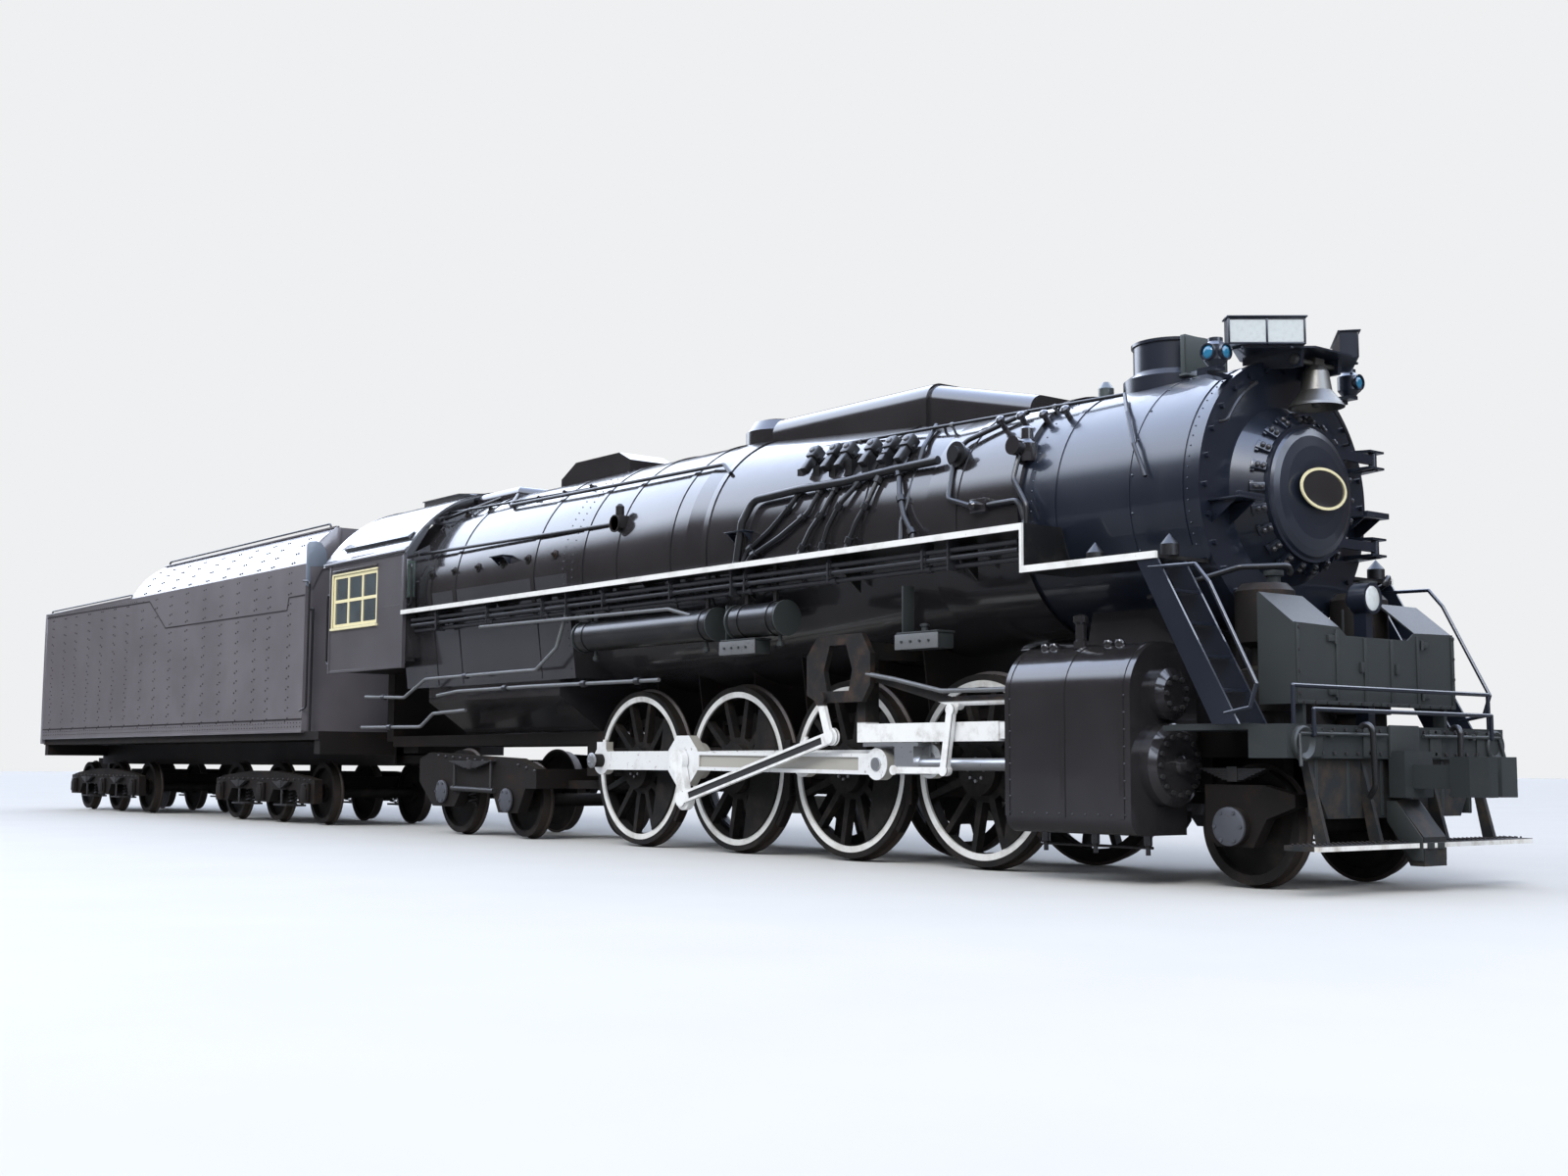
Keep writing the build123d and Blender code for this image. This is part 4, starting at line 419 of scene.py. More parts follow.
class Form:
    """A piece put together from bevelled blocks, plates, turned shapes and bars."""

    started = []

    def __init__(self, name, material, body=ENGINE, sharp=32):
        self.made = (material, body, sharp)
        self.name = name
        self.started.append(self)
        self.whole = bmesh.new()
        self.place = Matrix()
        self.side = 1

    def take(self, part, edge=0.0):
        """Adds a closed part; with an edge, its corners are bevelled by that much."""
        bmesh.ops.remove_doubles(part, verts=part.verts, dist=1e-6)
        bmesh.ops.recalc_face_normals(part, faces=part.faces)
        if edge:
            corners = [e for e in part.edges if e.calc_face_angle(0) > CORNER_ANGLE]
            bmesh.ops.bevel(part, geom=corners, offset=edge, segments=BEVEL_STEPS, profile=BEVEL_FULLNESS,
                            affect="EDGES", clamp_overlap=True)
        part.transform(self.place)
        mesh = bpy.data.meshes.new("part")
        part.to_mesh(mesh)
        part.free()
        self.whole.from_mesh(mesh)
        bpy.data.meshes.remove(mesh)

    def block(self, x, y, z, edge=0.004):
        part = bmesh.new()
        y = sorted(self.side * v for v in y)
        corners = [part.verts.new((a, b, c)) for a in x for b in y for c in z]
        for face in ((0, 1, 3, 2), (4, 6, 7, 5), (0, 4, 5, 1), (2, 3, 7, 6), (0, 2, 6, 4), (1, 5, 7, 3)):
            part.faces.new([corners[i] for i in face])
        self.take(part, edge)

    def blocks(self, *rows):
        for row in rows:
            self.block(*row)

    def plate(self, points, axis, span, edge=0.004):
        """An outline of (y, z) points pushed along X, or of (x, z) points pushed along Y."""
        part = bmesh.new()
        ends = [[part.verts.new((c, self.side * a, b) if axis == "X" else (a, self.side * c, b))
                 for a, b in points] for c in span]
        part.faces.new(ends[0])
        part.faces.new(ends[1])
        for i in range(len(points)):
            j = (i + 1) % len(points)
            part.faces.new([ends[0][i], ends[0][j], ends[1][j], ends[1][i]])
        self.take(part, edge)

    def turned(self, profile, centre, axis, sides=32):
        """Turned from (along, radius) points; a radius of 0 closes an end."""
        part = bmesh.new()
        centre = Vector((centre[0], self.side * centre[1], centre[2]))
        axis = Vector((axis[0], self.side * axis[1], axis[2])).normalized()
        across = axis.orthogonal().normalized()
        over = axis.cross(across)
        turns = [math.tau * i / sides for i in range(sides)]
        rings = []
        for along, radius in profile:
            mid = centre + axis * along
            spokes = [(across * math.cos(t) + over * math.sin(t)) * radius for t in turns]
            rings.append([part.verts.new(mid + spoke) for spoke in (spokes if radius else spokes[:1])])
        for a, b in zip(rings, rings[1:]):
            for i in range(sides):
                j = (i + 1) % sides
                corners = [a[i % len(a)], a[j % len(a)], b[j % len(b)], b[i % len(b)]]
                corners = list(dict.fromkeys(corners))
                if len(corners) > 2:
                    part.faces.new(corners)
        for ring in (rings[0], rings[-1]):
            if len(ring) > 1:
                part.faces.new(ring)
        self.take(part)

    def bar(self, start, end, radius, sides=12):
        way = Vector(end) - Vector(start)
        self.turned([(0, radius), (way.length, radius)], start, way, sides)

    def done(self):
        mesh = bpy.data.meshes.new(self.name)
        self.whole.to_mesh(mesh)
        self.whole.free()
        put(self.name, mesh, *self.made)


def both(*forms):
    """Once for each side of the row: y is given for the left, and turned over for the right."""
    for side in (-1, 1):
        for form in forms:
            form.side = side
        yield side


def disc(radius, height):
    """The profile of a flat round head."""
    return [(0, radius), (height, radius), (height, 0)]


def knob(radius, straight, tip, height):
    """The profile of a round head that narrows to its tip."""
    return [(0, radius), (straight, radius), (height, tip), (height, 0)]


def collar(half, inner, outer, lip=0.0):
    """The profile of a ring round a pipe or shell, bevelled by lip at its ends."""
    return [(-half, inner), (lip - half, outer), (half - lip, outer), (half, inner)]


# Geometry Nodes for what repeats or follows a line

class Tree:
    """A Geometry Nodes tree with named inputs, which starts from the lines it is run along."""

    def __init__(self, name, inputs):
        self.tree = bpy.data.node_groups.new(name, "GeometryNodeTree")
        self.ids = {}
        face = self.tree.interface
        face.new_socket("Geometry", in_out="INPUT", socket_type="NodeSocketGeometry")
        for label, kind in {**inputs, "Material": "Material"}.items():
            socket = face.new_socket(label, in_out="INPUT", socket_type="NodeSocket" + kind)
            self.ids[label] = socket.identifier
        face.new_socket("Geometry", in_out="OUTPUT", socket_type="NodeSocketGeometry")
        self.given = self.tree.nodes.new("NodeGroupInput").outputs
        self.end = self.tree.nodes.new("NodeGroupOutput")
        self.curve = self.node("MeshToCurve", Mesh=self.given["Geometry"])

    def node(self, kind, settings=None, **values):
        node = self.tree.nodes.new("GeometryNode" + kind if not kind.startswith("FunctionNode") else kind)
        for key, value in (settings or {}).items():
            setattr(node, key, value)
        for key, value in values.items():
            socket = node.inputs[key.replace("_", " ")]
            if isinstance(value, bpy.types.NodeSocket):
                self.tree.links.new(value, socket)
            else:
                socket.default_value = value
        return node.outputs[0]

    def spaced(self):
        """Points along the lines at the given spacing."""
        even = self.node("ResampleCurve", {"mode": "LENGTH"}, Curve=self.curve, Length=self.given["Spacing"])
        return self.node("CurveToPoints", {"mode": "EVALUATED"}, Curve=even)

    def close(self, geometry):
        solid = self.node("RealizeInstances", Geometry=geometry)
        painted = self.node("SetMaterial", Geometry=solid, Material=self.given["Material"])
        self.tree.links.new(painted, self.end.inputs[0])
        return self


def bolt_tree():
    """Bolt heads, all facing one way, spaced along lines."""
    t = Tree("bolts_along", {"Spacing": "Float", "Radius": "Float", "Height": "Float", "Sides": "Int",
                             "Facing": "Vector"})
    head = t.node("MeshCylinder", Vertices=t.given["Sides"], Radius=t.given["Radius"],
                  Depth=t.given["Height"])
    turn = t.node("FunctionNodeAlignRotationToVector", {"axis": "Z"}, Vector=t.given["Facing"])
    return t.close(t.node("InstanceOnPoints", Points=t.spaced(), Instance=head, Rotation=turn))


def rivet_tree():
    """Round rivet heads spaced along lines, half sunk in the plate."""
    t = Tree("rivets_along", {"Spacing": "Float", "Radius": "Float"})
    head = t.node("MeshUVSphere", Segments=7, Rings=4, Radius=t.given["Radius"])
    return t.close(t.node("InstanceOnPoints", Points=t.spaced(), Instance=head))


def pipe_tree():
    """Round pipe with bent elbows along lines."""
    t = Tree("bent_pipe", {"Radius": "Float", "Bend": "Float", "Sides": "Int"})
    bent = t.node("FilletCurve", {"mode": "POLY"}, Curve=t.curve, Count=6, Radius=t.given["Bend"],
                  Limit_Radius=True)
    ring = t.node("CurvePrimitiveCircle", Resolution=t.given["Sides"], Radius=t.given["Radius"])
    return t.close(t.node("CurveToMesh", Curve=bent, Profile_Curve=ring, Fill_Caps=True))


def strap_tree():
    """Flat strap lying along lines, such as a boiler band or a seam strip."""
    t = Tree("flat_strap", {"Width": "Float", "Thickness": "Float", "Across": "Vector"})
    facing = t.node("SetCurveNormal", {"mode": "FREE"}, Curve=t.curve, Normal=t.given["Across"])
    bar = t.node("CurvePrimitiveQuadrilateral", Width=t.given["Width"], Height=t.given["Thickness"])
    return t.close(t.node("CurveToMesh", Curve=facing, Profile_Curve=bar, Fill_Caps=True))


BOLTS, RIVETS, PIPES, STRAPS = bolt_tree(), rivet_tree(), pipe_tree(), strap_tree()


def grow(tree, name, lines, material, body, closed=False, **inputs):
    """Runs a tree along polylines, and keeps the result as a plain mesh on its body."""
    points, edges = [], []
    for line in lines:
        start = len(points)
        points += [tuple(p) for p in line]
        edges += [(start + i, start + i + 1) for i in range(len(line) - 1)]
        if closed:
            edges.append((len(points) - 1, start))
    seed = bpy.data.meshes.new(name + "_line")
    seed.from_pydata(points, edges, [])
    o = bpy.data.objects.new(name + "_line", seed)
    bpy.context.collection.objects.link(o)
    modifier = o.modifiers.new("grow", "NODES")
    modifier.node_group = tree.tree
    for label, value in {**inputs, "Material": material}.items():
        modifier[tree.ids[label]] = value
    mesh = bpy.data.meshes.new_from_object(o.evaluated_get(bpy.context.evaluated_depsgraph_get()))
    bpy.data.objects.remove(o)
    bpy.data.meshes.remove(seed)
    put(name, mesh, material, body)


def bolts(name, lines, material, spacing, radius, height, body=ENGINE, closed=False):
    grow(BOLTS, name, lines, material, body, closed, Spacing=spacing, Radius=radius, Height=height, Sides=6,
         Facing=AHEAD)


def rivets(name, lines, material, spacing, radius, body=ENGINE):
    grow(RIVETS, name, lines, material, body, Spacing=spacing, Radius=radius)


def pipes(name, lines, material, radius, bend, sides=10, body=ENGINE):
    grow(PIPES, name, lines, material, body, Radius=radius, Bend=bend, Sides=sides)


def bands(name, lines, material, width, thickness, across=AHEAD, body=ENGINE, closed=False):
    grow(STRAPS, name, lines, material, body, closed, Width=width, Thickness=thickness, Across=across)


def twins(lines):
    """Lines of one side of the row, and the same on the other side."""
    return [[(x, s * y, z) for x, y, z in line] for s in (-1, 1) for line in lines]


def sides(y, *lines):
    """Lines of (x, z) points on both sides of the row, y from its middle."""
    return twins([[(x, y, z) for x, z in line] for line in lines])


def ring(x, y, z, radius, count):
    """Points of a circle about an axis along X."""
    turns = [math.tau * i / count for i in range(count)]
    return [(x, y + radius * math.cos(t), z + radius * math.sin(t)) for t in turns]


def arc_x(x, radius, low, high, count=48):
    """Points round the boiler at x, from angle low to high in degrees above the right-hand side."""
    turns = [math.radians(low + (high - low) * i / (count - 1)) for i in range(count)]
    return [(x, -radius * math.cos(t), BOILER_Z + radius * math.sin(t)) for t in turns]


# The boiler: bands, seams and rivets
SMOKEBOX_REAR, CONE_FRONT, CONE_LENGTH, FIREBOX_FRONT = 11.79, 10.6, 3.5, 4.7
BANDS = (11.76, 10.98, 9.74, 7.42, 6.79, 5.73, 5.01, 3.91, 1.94, 1.27)
SMOKEBOX_BANDS = (13.7, 13.57, 12.19)


def shell_r(x):
    """Radius of the boiler's outside at a station."""
    if x > SMOKEBOX_REAR:
        return SMOKEBOX_R
    return min(FIREBOX_R, BARREL_R + (FIREBOX_R - BARREL_R) * max(0.0, CONE_FRONT - x) / CONE_LENGTH)


def round_boiler(x, out):
    """A line round the boiler at one station; over the firebox it runs down the flat sides."""
    r = shell_r(x) + out
    if x > FIREBOX_FRONT:
        return arc_x(x, r, -25, 205)
    foot, knee = 1.24 + out, 1.3 + out
    return [(x, -foot, 1.97), (x, -knee, 2.45)] + arc_x(x, r, 0, 180) + [(x, knee, 2.45), (x, foot, 1.97)]


def skin(x, angle, out=0.0):
    """A point on the left-hand side of the boiler, angle degrees above the horizontal."""
    r, t = shell_r(x) + out, math.radians(angle)
    return (x, r * math.cos(t), BOILER_Z + r * math.sin(t))


bands("boiler_bands", [round_boiler(x, 0.005) for x in BANDS], ENAMEL, 0.085, 0.01)
bands("smokebox_bands", [round_boiler(x, 0.004) for x in SMOKEBOX_BANDS], SMOKEBOX, 0.055, 0.01)
bands("smokebox_lap_seam", [round_boiler(13.03, 0.003)], SMOKEBOX, 0.018, 0.008)
rivets("smokebox_rivets", [round_boiler(x, 0.0) for x in (11.93, 13.64)], SMOKEBOX, 0.09, 0.009)
rivets("lap_seam_rivets", [round_boiler(13.06, 0.0)], SMOKEBOX, 0.31, 0.013)
rivets("firebox_rivets", [round_boiler(x, 0.002) for x in (4.82, 4.62, 0.98)], ENAMEL, 0.09, 0.009)

# Smokebox front: bolts round the ring, dogs round the door, steps, grab irons and plate
bolts("smokebox_front_bolts", [arc_x(FRONT_X + 0.01, 1.06, 0, 360, 57)[:-1]], SMOKEBOX, 0.238, 0.024, 0.04,
      closed=True)
DOGS, DOG_LEAN = 22, math.pi / 2 - math.atan2(0.18, 0.205)
dogs = Form("door_dogs", SMOKEBOX)
nuts = Form("door_dog_nuts", STEEL_DARK)
for i in range(DOGS):
    turn = math.radians(i * 360 / DOGS + 8)
    spot = Matrix.Translation((FRONT_X, 0, BOILER_Z)) @ Matrix.Rotation(turn, 4, "X")
    spot = spot @ Matrix.Translation((0.15, 0, 0.615)) @ Matrix.Rotation(DOG_LEAN, 4, "Y")
    dogs.place = nuts.place = spot
    dogs.block((-0.05, 0.075), (-0.036, 0.036), (-0.012, 0.04), 0.01)
    dogs.block((-0.045, -0.015), (-0.052, 0.052), (-0.012, 0.022), 0.006)
    for x in (0.0, 0.048):
        nuts.turned([(0.038, 0), (0.038, 0.022), (0.062, 0.022), (0.07, 0.012), (0.07, 0)], (x, 0, 0), UP, 6)
trim = Form("smokebox_front_trim", SMOKEBOX)
for _ in both(trim):
    trim.block((FRONT_X, FRONT_X + 0.31), (0.7, 1.02), (3.05, 3.065), 0.003)
    trim.block((FRONT_X + 0.27, FRONT_X + 0.31), (0.7, 1.02), (3.065, 3.1), 0.003)
    for y in (0.74, 0.97):
        trim.plate([(FRONT_X, 3.05), (FRONT_X + 0.25, 3.05), (FRONT_X, 2.88)], "Y", (y, y + 0.012), 0.002)
for z in (BOILER_Z + 0.37, BOILER_Z - 0.38):
    for up in (-1, 1):
        trim.plate([(FRONT_X, z + up * 0.1), (14.06, z + up * 0.08), (14.06, z + up * 0.06),
                    (FRONT_X, z + up * 0.055)], "Y", (0.8, 1.0))
grip = [(FRONT_X + 0.075, y, z) for _, y, z in arc_x(0, 1.0, 148, 116, 9)]
grip = [(FRONT_X, *grip[0][1:]), *grip, (FRONT_X, *grip[-1][1:])]
pipes("smokebox_grab_irons", twins([grip]), RUN_PIPE, 0.014, 0.03)
PLATE_Z, PLATE_WIDE, PLATE_HIGH = 3.205, 0.3, 0.163
turns = [math.tau * i / 48 for i in range(48)]
oval = [(PLATE_WIDE * math.cos(t), PLATE_HIGH * math.sin(t)) for t in turns]
plate = Form("oval_plate", ENAMEL, "smokebox_door")
plate.plate([(y * 0.985, PLATE_Z + z * 0.97) for y, z in oval], "X", (14.122, 14.14), 0.003)
plate.block((14.09, 14.125), (-0.03, 0.03), (3.1, 3.31))
bands("oval_plate_rim", [[(14.141, y, PLATE_Z + z) for y, z in oval]], CREAM, 0.014, 0.022,
      body="smokebox_door", closed=True)

# Lamps
lens = Form("class_lamp_lenses", LENS, sharp=60)
cups = Form("class_lamp_rims", SMOKEBOX)
for _ in both(lens, cups):
    for way in (AHEAD, OUT):
        mid = Vector((13.789, 0.913, 4.257)) + Vector(way) * 0.085
        cups.turned([(0, 0.07), (0.028, 0.07), (0.028, 0.058), (0.012, 0.058)], mid, way, 28)
        lens.turned([(0.006, 0.058), (0.018, 0.05), (0.028, 0.03), (0.032, 0)], mid, way, 28)
light = Form("headlight_glass", CLEAR, sharp=60)
light.turned([(0, 0), (0, 0.1), (0.004, 0.1), (0.018, 0.07), (0.024, 0)], (14.5582, 0, 2.28), AHEAD, 40)
panes = Form("number_box_panes", FROST)
box = Form("number_box_frames", SMOKEBOX)
BOX_LOW, BOX_HIGH, BOX_FACE = 4.335, 4.555, (0.0705, 0.082)
for s in (-1, 1):
    panes.place = Matrix.Translation((14.0, s * 0.55, 0)) @ Matrix.Rotation(math.radians(40 * s), 4, "Z")
    box.place = panes.place
    for y in ((-0.295, -0.008), (0.008, 0.295)):
        panes.block((0.0705, 0.074), y, (BOX_LOW + 0.018, BOX_HIGH - 0.018), 0.0)
    for z in (BOX_LOW, BOX_HIGH - 0.014):
        box.block(BOX_FACE, (-0.312, 0.312), (z, z + 0.014), 0.002)
    for y in (-0.312, -0.008, 0.296):
        box.block(BOX_FACE, (y, y + 0.016), (BOX_LOW, BOX_HIGH), 0.002)
    box.block((-0.085, 0.1), (-0.325, 0.325), (BOX_HIGH, BOX_HIGH + 0.012), 0.003)
    for y in (-0.2, 0.2):
        box.turned(knob(0.012, 0.02, 0.006, 0.026), (0.06, y, BOX_LOW - 0.03), AHEAD, 10)

# Beside the stack
stack = Form("stack_front_panel", PANEL)
stack.blocks(
    ((12.972, 12.984), (-0.29, 0.29), (4.31, 4.668)),
    ((12.93, 12.984), (-0.29, -0.278), (4.31, 4.668), 0.003),
    ((12.93, 12.984), (0.278, 0.29), (4.31, 4.668), 0.003),
    ((12.93, 13.01), (-0.31, 0.31), (4.3, 4.318)),
    ((12.94, 12.975), (-0.03, 0.03), (4.4, 4.43), 0.003),
    ((12.94, 12.975), (-0.03, 0.03), (4.58, 4.61), 0.003),
)
stack.turned(knob(0.07, 0.1, 0.03, 0.16), (12.05, -0.25, 4.24), UP, 20)
stack.turned(knob(0.05, 0.22, 0.02, 0.26), (12.05, 0.28, 4.22), UP, 16)

# Sanding gear: angular valves over a thick header, and the fan of pipes with its union nuts
VALVE_X = (8.83, 9.13, 9.33, 9.67, 9.93, 10.16)
VALVE_ANGLE = 39
FANS = (
    ((8.84, 1.2, 3.7), (8.76, 1.26, 3.55), (8.5, 1.32, 3.32), (8.16, 1.36, 3.12), (8.12, 1.4, 2.96)),
    ((9.15, 1.17, 3.7), (9.04, 1.27, 3.44), (8.66, 1.33, 3.23), (8.21, 1.36, 3.06), (8.18, 1.4, 2.96)),
    ((9.36, 1.15, 3.7), (9.25, 1.26, 3.42), (9.12, 1.3, 3.26), (8.99, 1.32, 3.06), (8.97, 1.36, 2.96)),
    ((9.68, 1.13, 3.7), (9.52, 1.24, 3.5), (9.37, 1.28, 3.27), (9.29, 1.3, 3.05), (9.27, 1.34, 2.96)),
    ((9.94, 1.11, 3.72), (9.87, 1.21, 3.46), (9.76, 1.26, 3.27), (9.66, 1.28, 3.07), (9.64, 1.31, 2.96)),
    ((10.18, 1.08, 3.74), (10.3, 1.18, 3.49), (10.4, 1.22, 3.27), (10.53, 1.23, 3.08), (10.56, 1.25, 2.96)),
)
valves = Form("sander_valves", DARK_PIPE)
ports = Form("sander_valve_ports", PIPE)
for s in (-1, 1):
    lean = math.radians(VALVE_ANGLE if s > 0 else 180 - VALVE_ANGLE)
    for x in VALVE_X:
        _, y, z = skin(x, VALVE_ANGLE, 0.01)
        valves.place = Matrix.Translation((x, s * y, z)) @ Matrix.Rotation(lean, 4, "X")
        ports.place = valves.place
        valves.block((-0.06, 0.06), (0.0, 0.13), sorted((0.0, s * 0.15)), 0.02)
        valves.block((-0.042, 0.042), (0.02, 0.11), sorted((s * -0.17, s * 0.01)), 0.014)
        valves.block((-0.08, 0.08), (0.02, 0.06), sorted((s * 0.02, s * 0.06)), 0.008)
        valves.turned(disc(0.036, 0.022), (0, 0.065, s * 0.148), (0, 0, s), 6)
        ports.turned(knob(0.034, 0.018, 0.02, 0.026), (0, 0.128, s * 0.08), OUT, 14)
valves.place = Matrix()
for _ in both(valves):
    for path in FANS:
        for at, share in enumerate((0.15, 0.2, 0.85)):
            a, b = Vector(path[at]), Vector(path[at + 1])
            valves.turned(collar(0.035, 0.03, 0.042, 0.005), a.lerp(b, share), b - a, 8)
pipes("sand_pipes", twins(FANS), DARK_PIPE, 0.026, 0.12)
header = [(10.69, 1.05, 3.78), (10.14, 1.09, 3.76), (9.51, 1.17, 3.71), (8.88, 1.24, 3.7), (8.19, 1.3, 3.66),
          (8.1, 1.38, 3.43), (8.04, 1.4, 3.02), (8.04, 1.42, 2.96)]
pipes("sander_header", twins([header]), DARK_PIPE, 0.042, 0.14, 14)

# Feedwater check valves with their pipes, and the small valves along the barrel
checks = Form("check_valves", ENAMEL)
for _ in both(checks):
    checks.turned([(0, 0.09), (0.03, 0.1), (0.16, 0.1), (0.2, 0.06), (0.3, 0.055), (0.32, 0.03), (0.32, 0)],
                  (11.8, 1.02, 3.62), UP, 24)
    checks.turned([(0, 0.06), (0.12, 0.06), (0.14, 0.085), (0.19, 0.085), (0.19, 0)], (11.8, 1.02, 3.74),
                  (0, 1, 0.05), 20)
    for i in range(4):
        checks.turned([(0, 0.028), (0.07, 0.028), (0.09, 0.045), (0.12, 0.045), (0.14, 0.02), (0.14, 0)],
                      skin(11.3 + 0.26 * i, 47), (0, 0.68, 0.73), 12)
    checks.block((11.25, 11.45), (1.13, 1.2), (3.2, 3.33), 0.012)
    checks.turned(knob(0.04, 0.09, 0.02, 0.11), (11.35, 1.18, 3.26), OUT, 16)
feeds = [
    [(11.8, 1.13, 3.66), (11.8, 1.2, 3.45), (11.98, 1.225, 3.2), (11.98, 1.225, 2.96)],
    [skin(x, angle, 0.05) for x, angle in ((11.5, 55), (10.95, 40), (10.86, 34), (10.95, 9), (11.27, 4))],
    [(11.47, 1.18, 3.26), (11.85, 1.19, 3.26), (11.93, 1.19, 3.05), (11.93, 1.25, 2.96)],
    [skin(10.2, 60, 0.045), skin(10.35, 40, 0.045), skin(10.35, 2, 0.045), (10.4, 1.26, 2.96)],
]
pipes("barrel_pipes", twins(feeds), DARK_PIPE, 0.024, 0.09)

# Firebox side: wash-out plugs, turret valve, pipes into the cab, steps
plugs = Form("firebox_plugs", FRAMES)
steps = Form("boiler_steps", SMOKEBOX)
posts = Form("handrail_posts", PIPE)
for _ in both(plugs, steps, posts):
    for i in range(6):
        for angle in (10, 52):
            mid = skin(4.4 - 0.62 * i, angle)
            way = (0, math.cos(math.radians(angle)), math.sin(math.radians(angle)))
            plugs.turned([(0, 0.06), (0.012, 0.06), (0.016, 0.034), (0.03, 0.034), (0.03, 0)], mid, way, 18)
            plugs.turned([(0.03, 0.02), (0.055, 0.02), (0.055, 0)], mid, way, 4)
    plugs.block((5.66, 5.84), (1.27, 1.4), (3.6, 3.75), 0.012)
    plugs.turned(knob(0.05, 0.14, 0.02, 0.17), (5.75, 1.34, 3.72), UP, 16)
    plugs.turned([(0, 0.1), (0.02, 0.1), (0.02, 0.085), (0, 0.085)], (5.75, 1.4, 3.66), OUT, 20)
    for x, z in ((8.03, 3.33), (3.2, 3.5)):
        y = shell_r(x) * 0.985
        steps.block((x - 0.17, x + 0.17), (y - 0.02, y + 0.13), (z, z + 0.014), 0.003)
        for v in (-0.14, 0.13):
            steps.plate([(y - 0.02, z), (y + 0.12, z), (y - 0.02, z - 0.12)], "X",
                        (x + v, x + v + 0.012), 0.002)
    # Handrail posts stand on the boiler's skin and carry the rail in a ball
    for i in range(9):
        x = 1.4 + 1.3 * i
        t = (x - 0.9) / 11.7
        y, z = 0.9 - 0.26 * t, 4.35 - 0.2 * t
        posts.turned([(-0.026, 0), (-0.02, 0.02), (0, 0.028), (0.02, 0.02), (0.035, 0.012), (0.2, 0.012)],
                     (x, y, z), (0, -y, BOILER_Z - z), 12)
lines = [
    [(0.92, 1.36, 3.74), (2.6, 1.335, 3.72), (5.66, 1.31, 3.68)],
    [(1.6, 0.42, 4.56), (1.35, 0.9, 4.33), (0.92, 1.0, 4.25)],
    [(2.0, 0.5, 4.52), (2.6, 0.95, 4.26), (4.6, 1.0, 4.22), (7.3, 1.02, 4.18), (7.5, 1.08, 4.05)],
]
pipes("firebox_pipes", twins(lines), DARK_PIPE, 0.022, 0.12)
rivets("board_edge_rivets", sides(1.603, [(0.95, 2.95), (12.2, 2.95)], [(12.35, 2.585), (13.65, 2.585)]),
       SMOKEBOX, 0.62, 0.008)

# What dresses the tender
REAR_X, FRONT_EDGE = -14.9, -2.25
TANK_Y, RIVET_Y = 1.6, 1.596
BUNKER_REAR, DECK_Z = -9.55, 3.87
LAMP = (-14.93, 0, 3.55)


def arc3(a, b, c, count=12):
    """Points of the circle through three points, from the first to the last."""
    (ax, ay), (bx, by), (cx, cy) = a, b, c
    d = 2 * (ax * (by - cy) + bx * (cy - ay) + cx * (ay - by))
    sa, sb, sc = ax * ax + ay * ay, bx * bx + by * by, cx * cx + cy * cy
    ux = (sa * (by - cy) + sb * (cy - ay) + sc * (ay - by)) / d
    uy = (sa * (cx - bx) + sb * (ax - cx) + sc * (bx - ax)) / d
    r = math.hypot(ax - ux, ay - uy)
    start, end = (math.atan2(p[1] - uy, p[0] - ux) for p in (a, c))
    turns = [start + (end - start) * i / (count - 1) for i in range(count)]
    return [(ux + r * math.cos(t), uy + r * math.sin(t)) for t in turns]


BUNKER_SIDE = arc3((TANK_Y, 3.75), (1.47, 4.12), (1.11, 4.45))
RIVET_X = (-14.38, -13.62, -12.94, -12.16, -11.42, -10.7, -10.0, -9.22, -8.52, -7.8, -7.05, -6.25, -5.52,
           -4.82, -4.11, -3.57, -2.8)
columns = []
for x in RIVET_X:
    for dx, low in ((-0.04, 1.56), (0.04, 1.6)):
        column = [(x + dx, RIVET_Y, low), (x + dx, RIVET_Y, 3.74)]
        if x > BUNKER_REAR:
            column += [(x + dx, y, z) for y, z in BUNKER_SIDE[1:9]]
        columns.append(column)
rivets("tender_side_rivets", twins(columns), FRAMES, 0.155, 0.016, body=TENDER_BODY)
start, end = REAR_X + 0.05, FRONT_EDGE - 0.05
rows = sides(RIVET_Y, [(start, 1.47), (end, 1.47)], [(start, 1.53), (end, 1.53)],
             [(start, 3.8), (BUNKER_REAR, 3.8)])
rows += [[(REAR_X, y, 1.5), (REAR_X, y, 3.8)] for y in (-1.3, -0.75, -0.2, 0.35, 0.9, 1.45)]
rivets("tender_edge_rivets", rows, FRAMES, 0.11, 0.012, body=TENDER_BODY)
seam = [(-14.86, 3.827), (-8.87, 3.756), (-8.03, 3.241), (-2.89, 3.215), (-2.83, 3.403), (-2.26, 3.404)]
bands("tender_seam_strips", sides(1.602, seam, [(REAR_X, 1.58), (FRONT_EDGE, 1.58)]), FRAMES, 0.008, 0.022,
      OUT, body=TENDER_BODY)
tank = Form("tender_edges", TENDER, TENDER_BODY)
sheet = Form("tender_front_sheets", SHEET, TENDER_BODY)
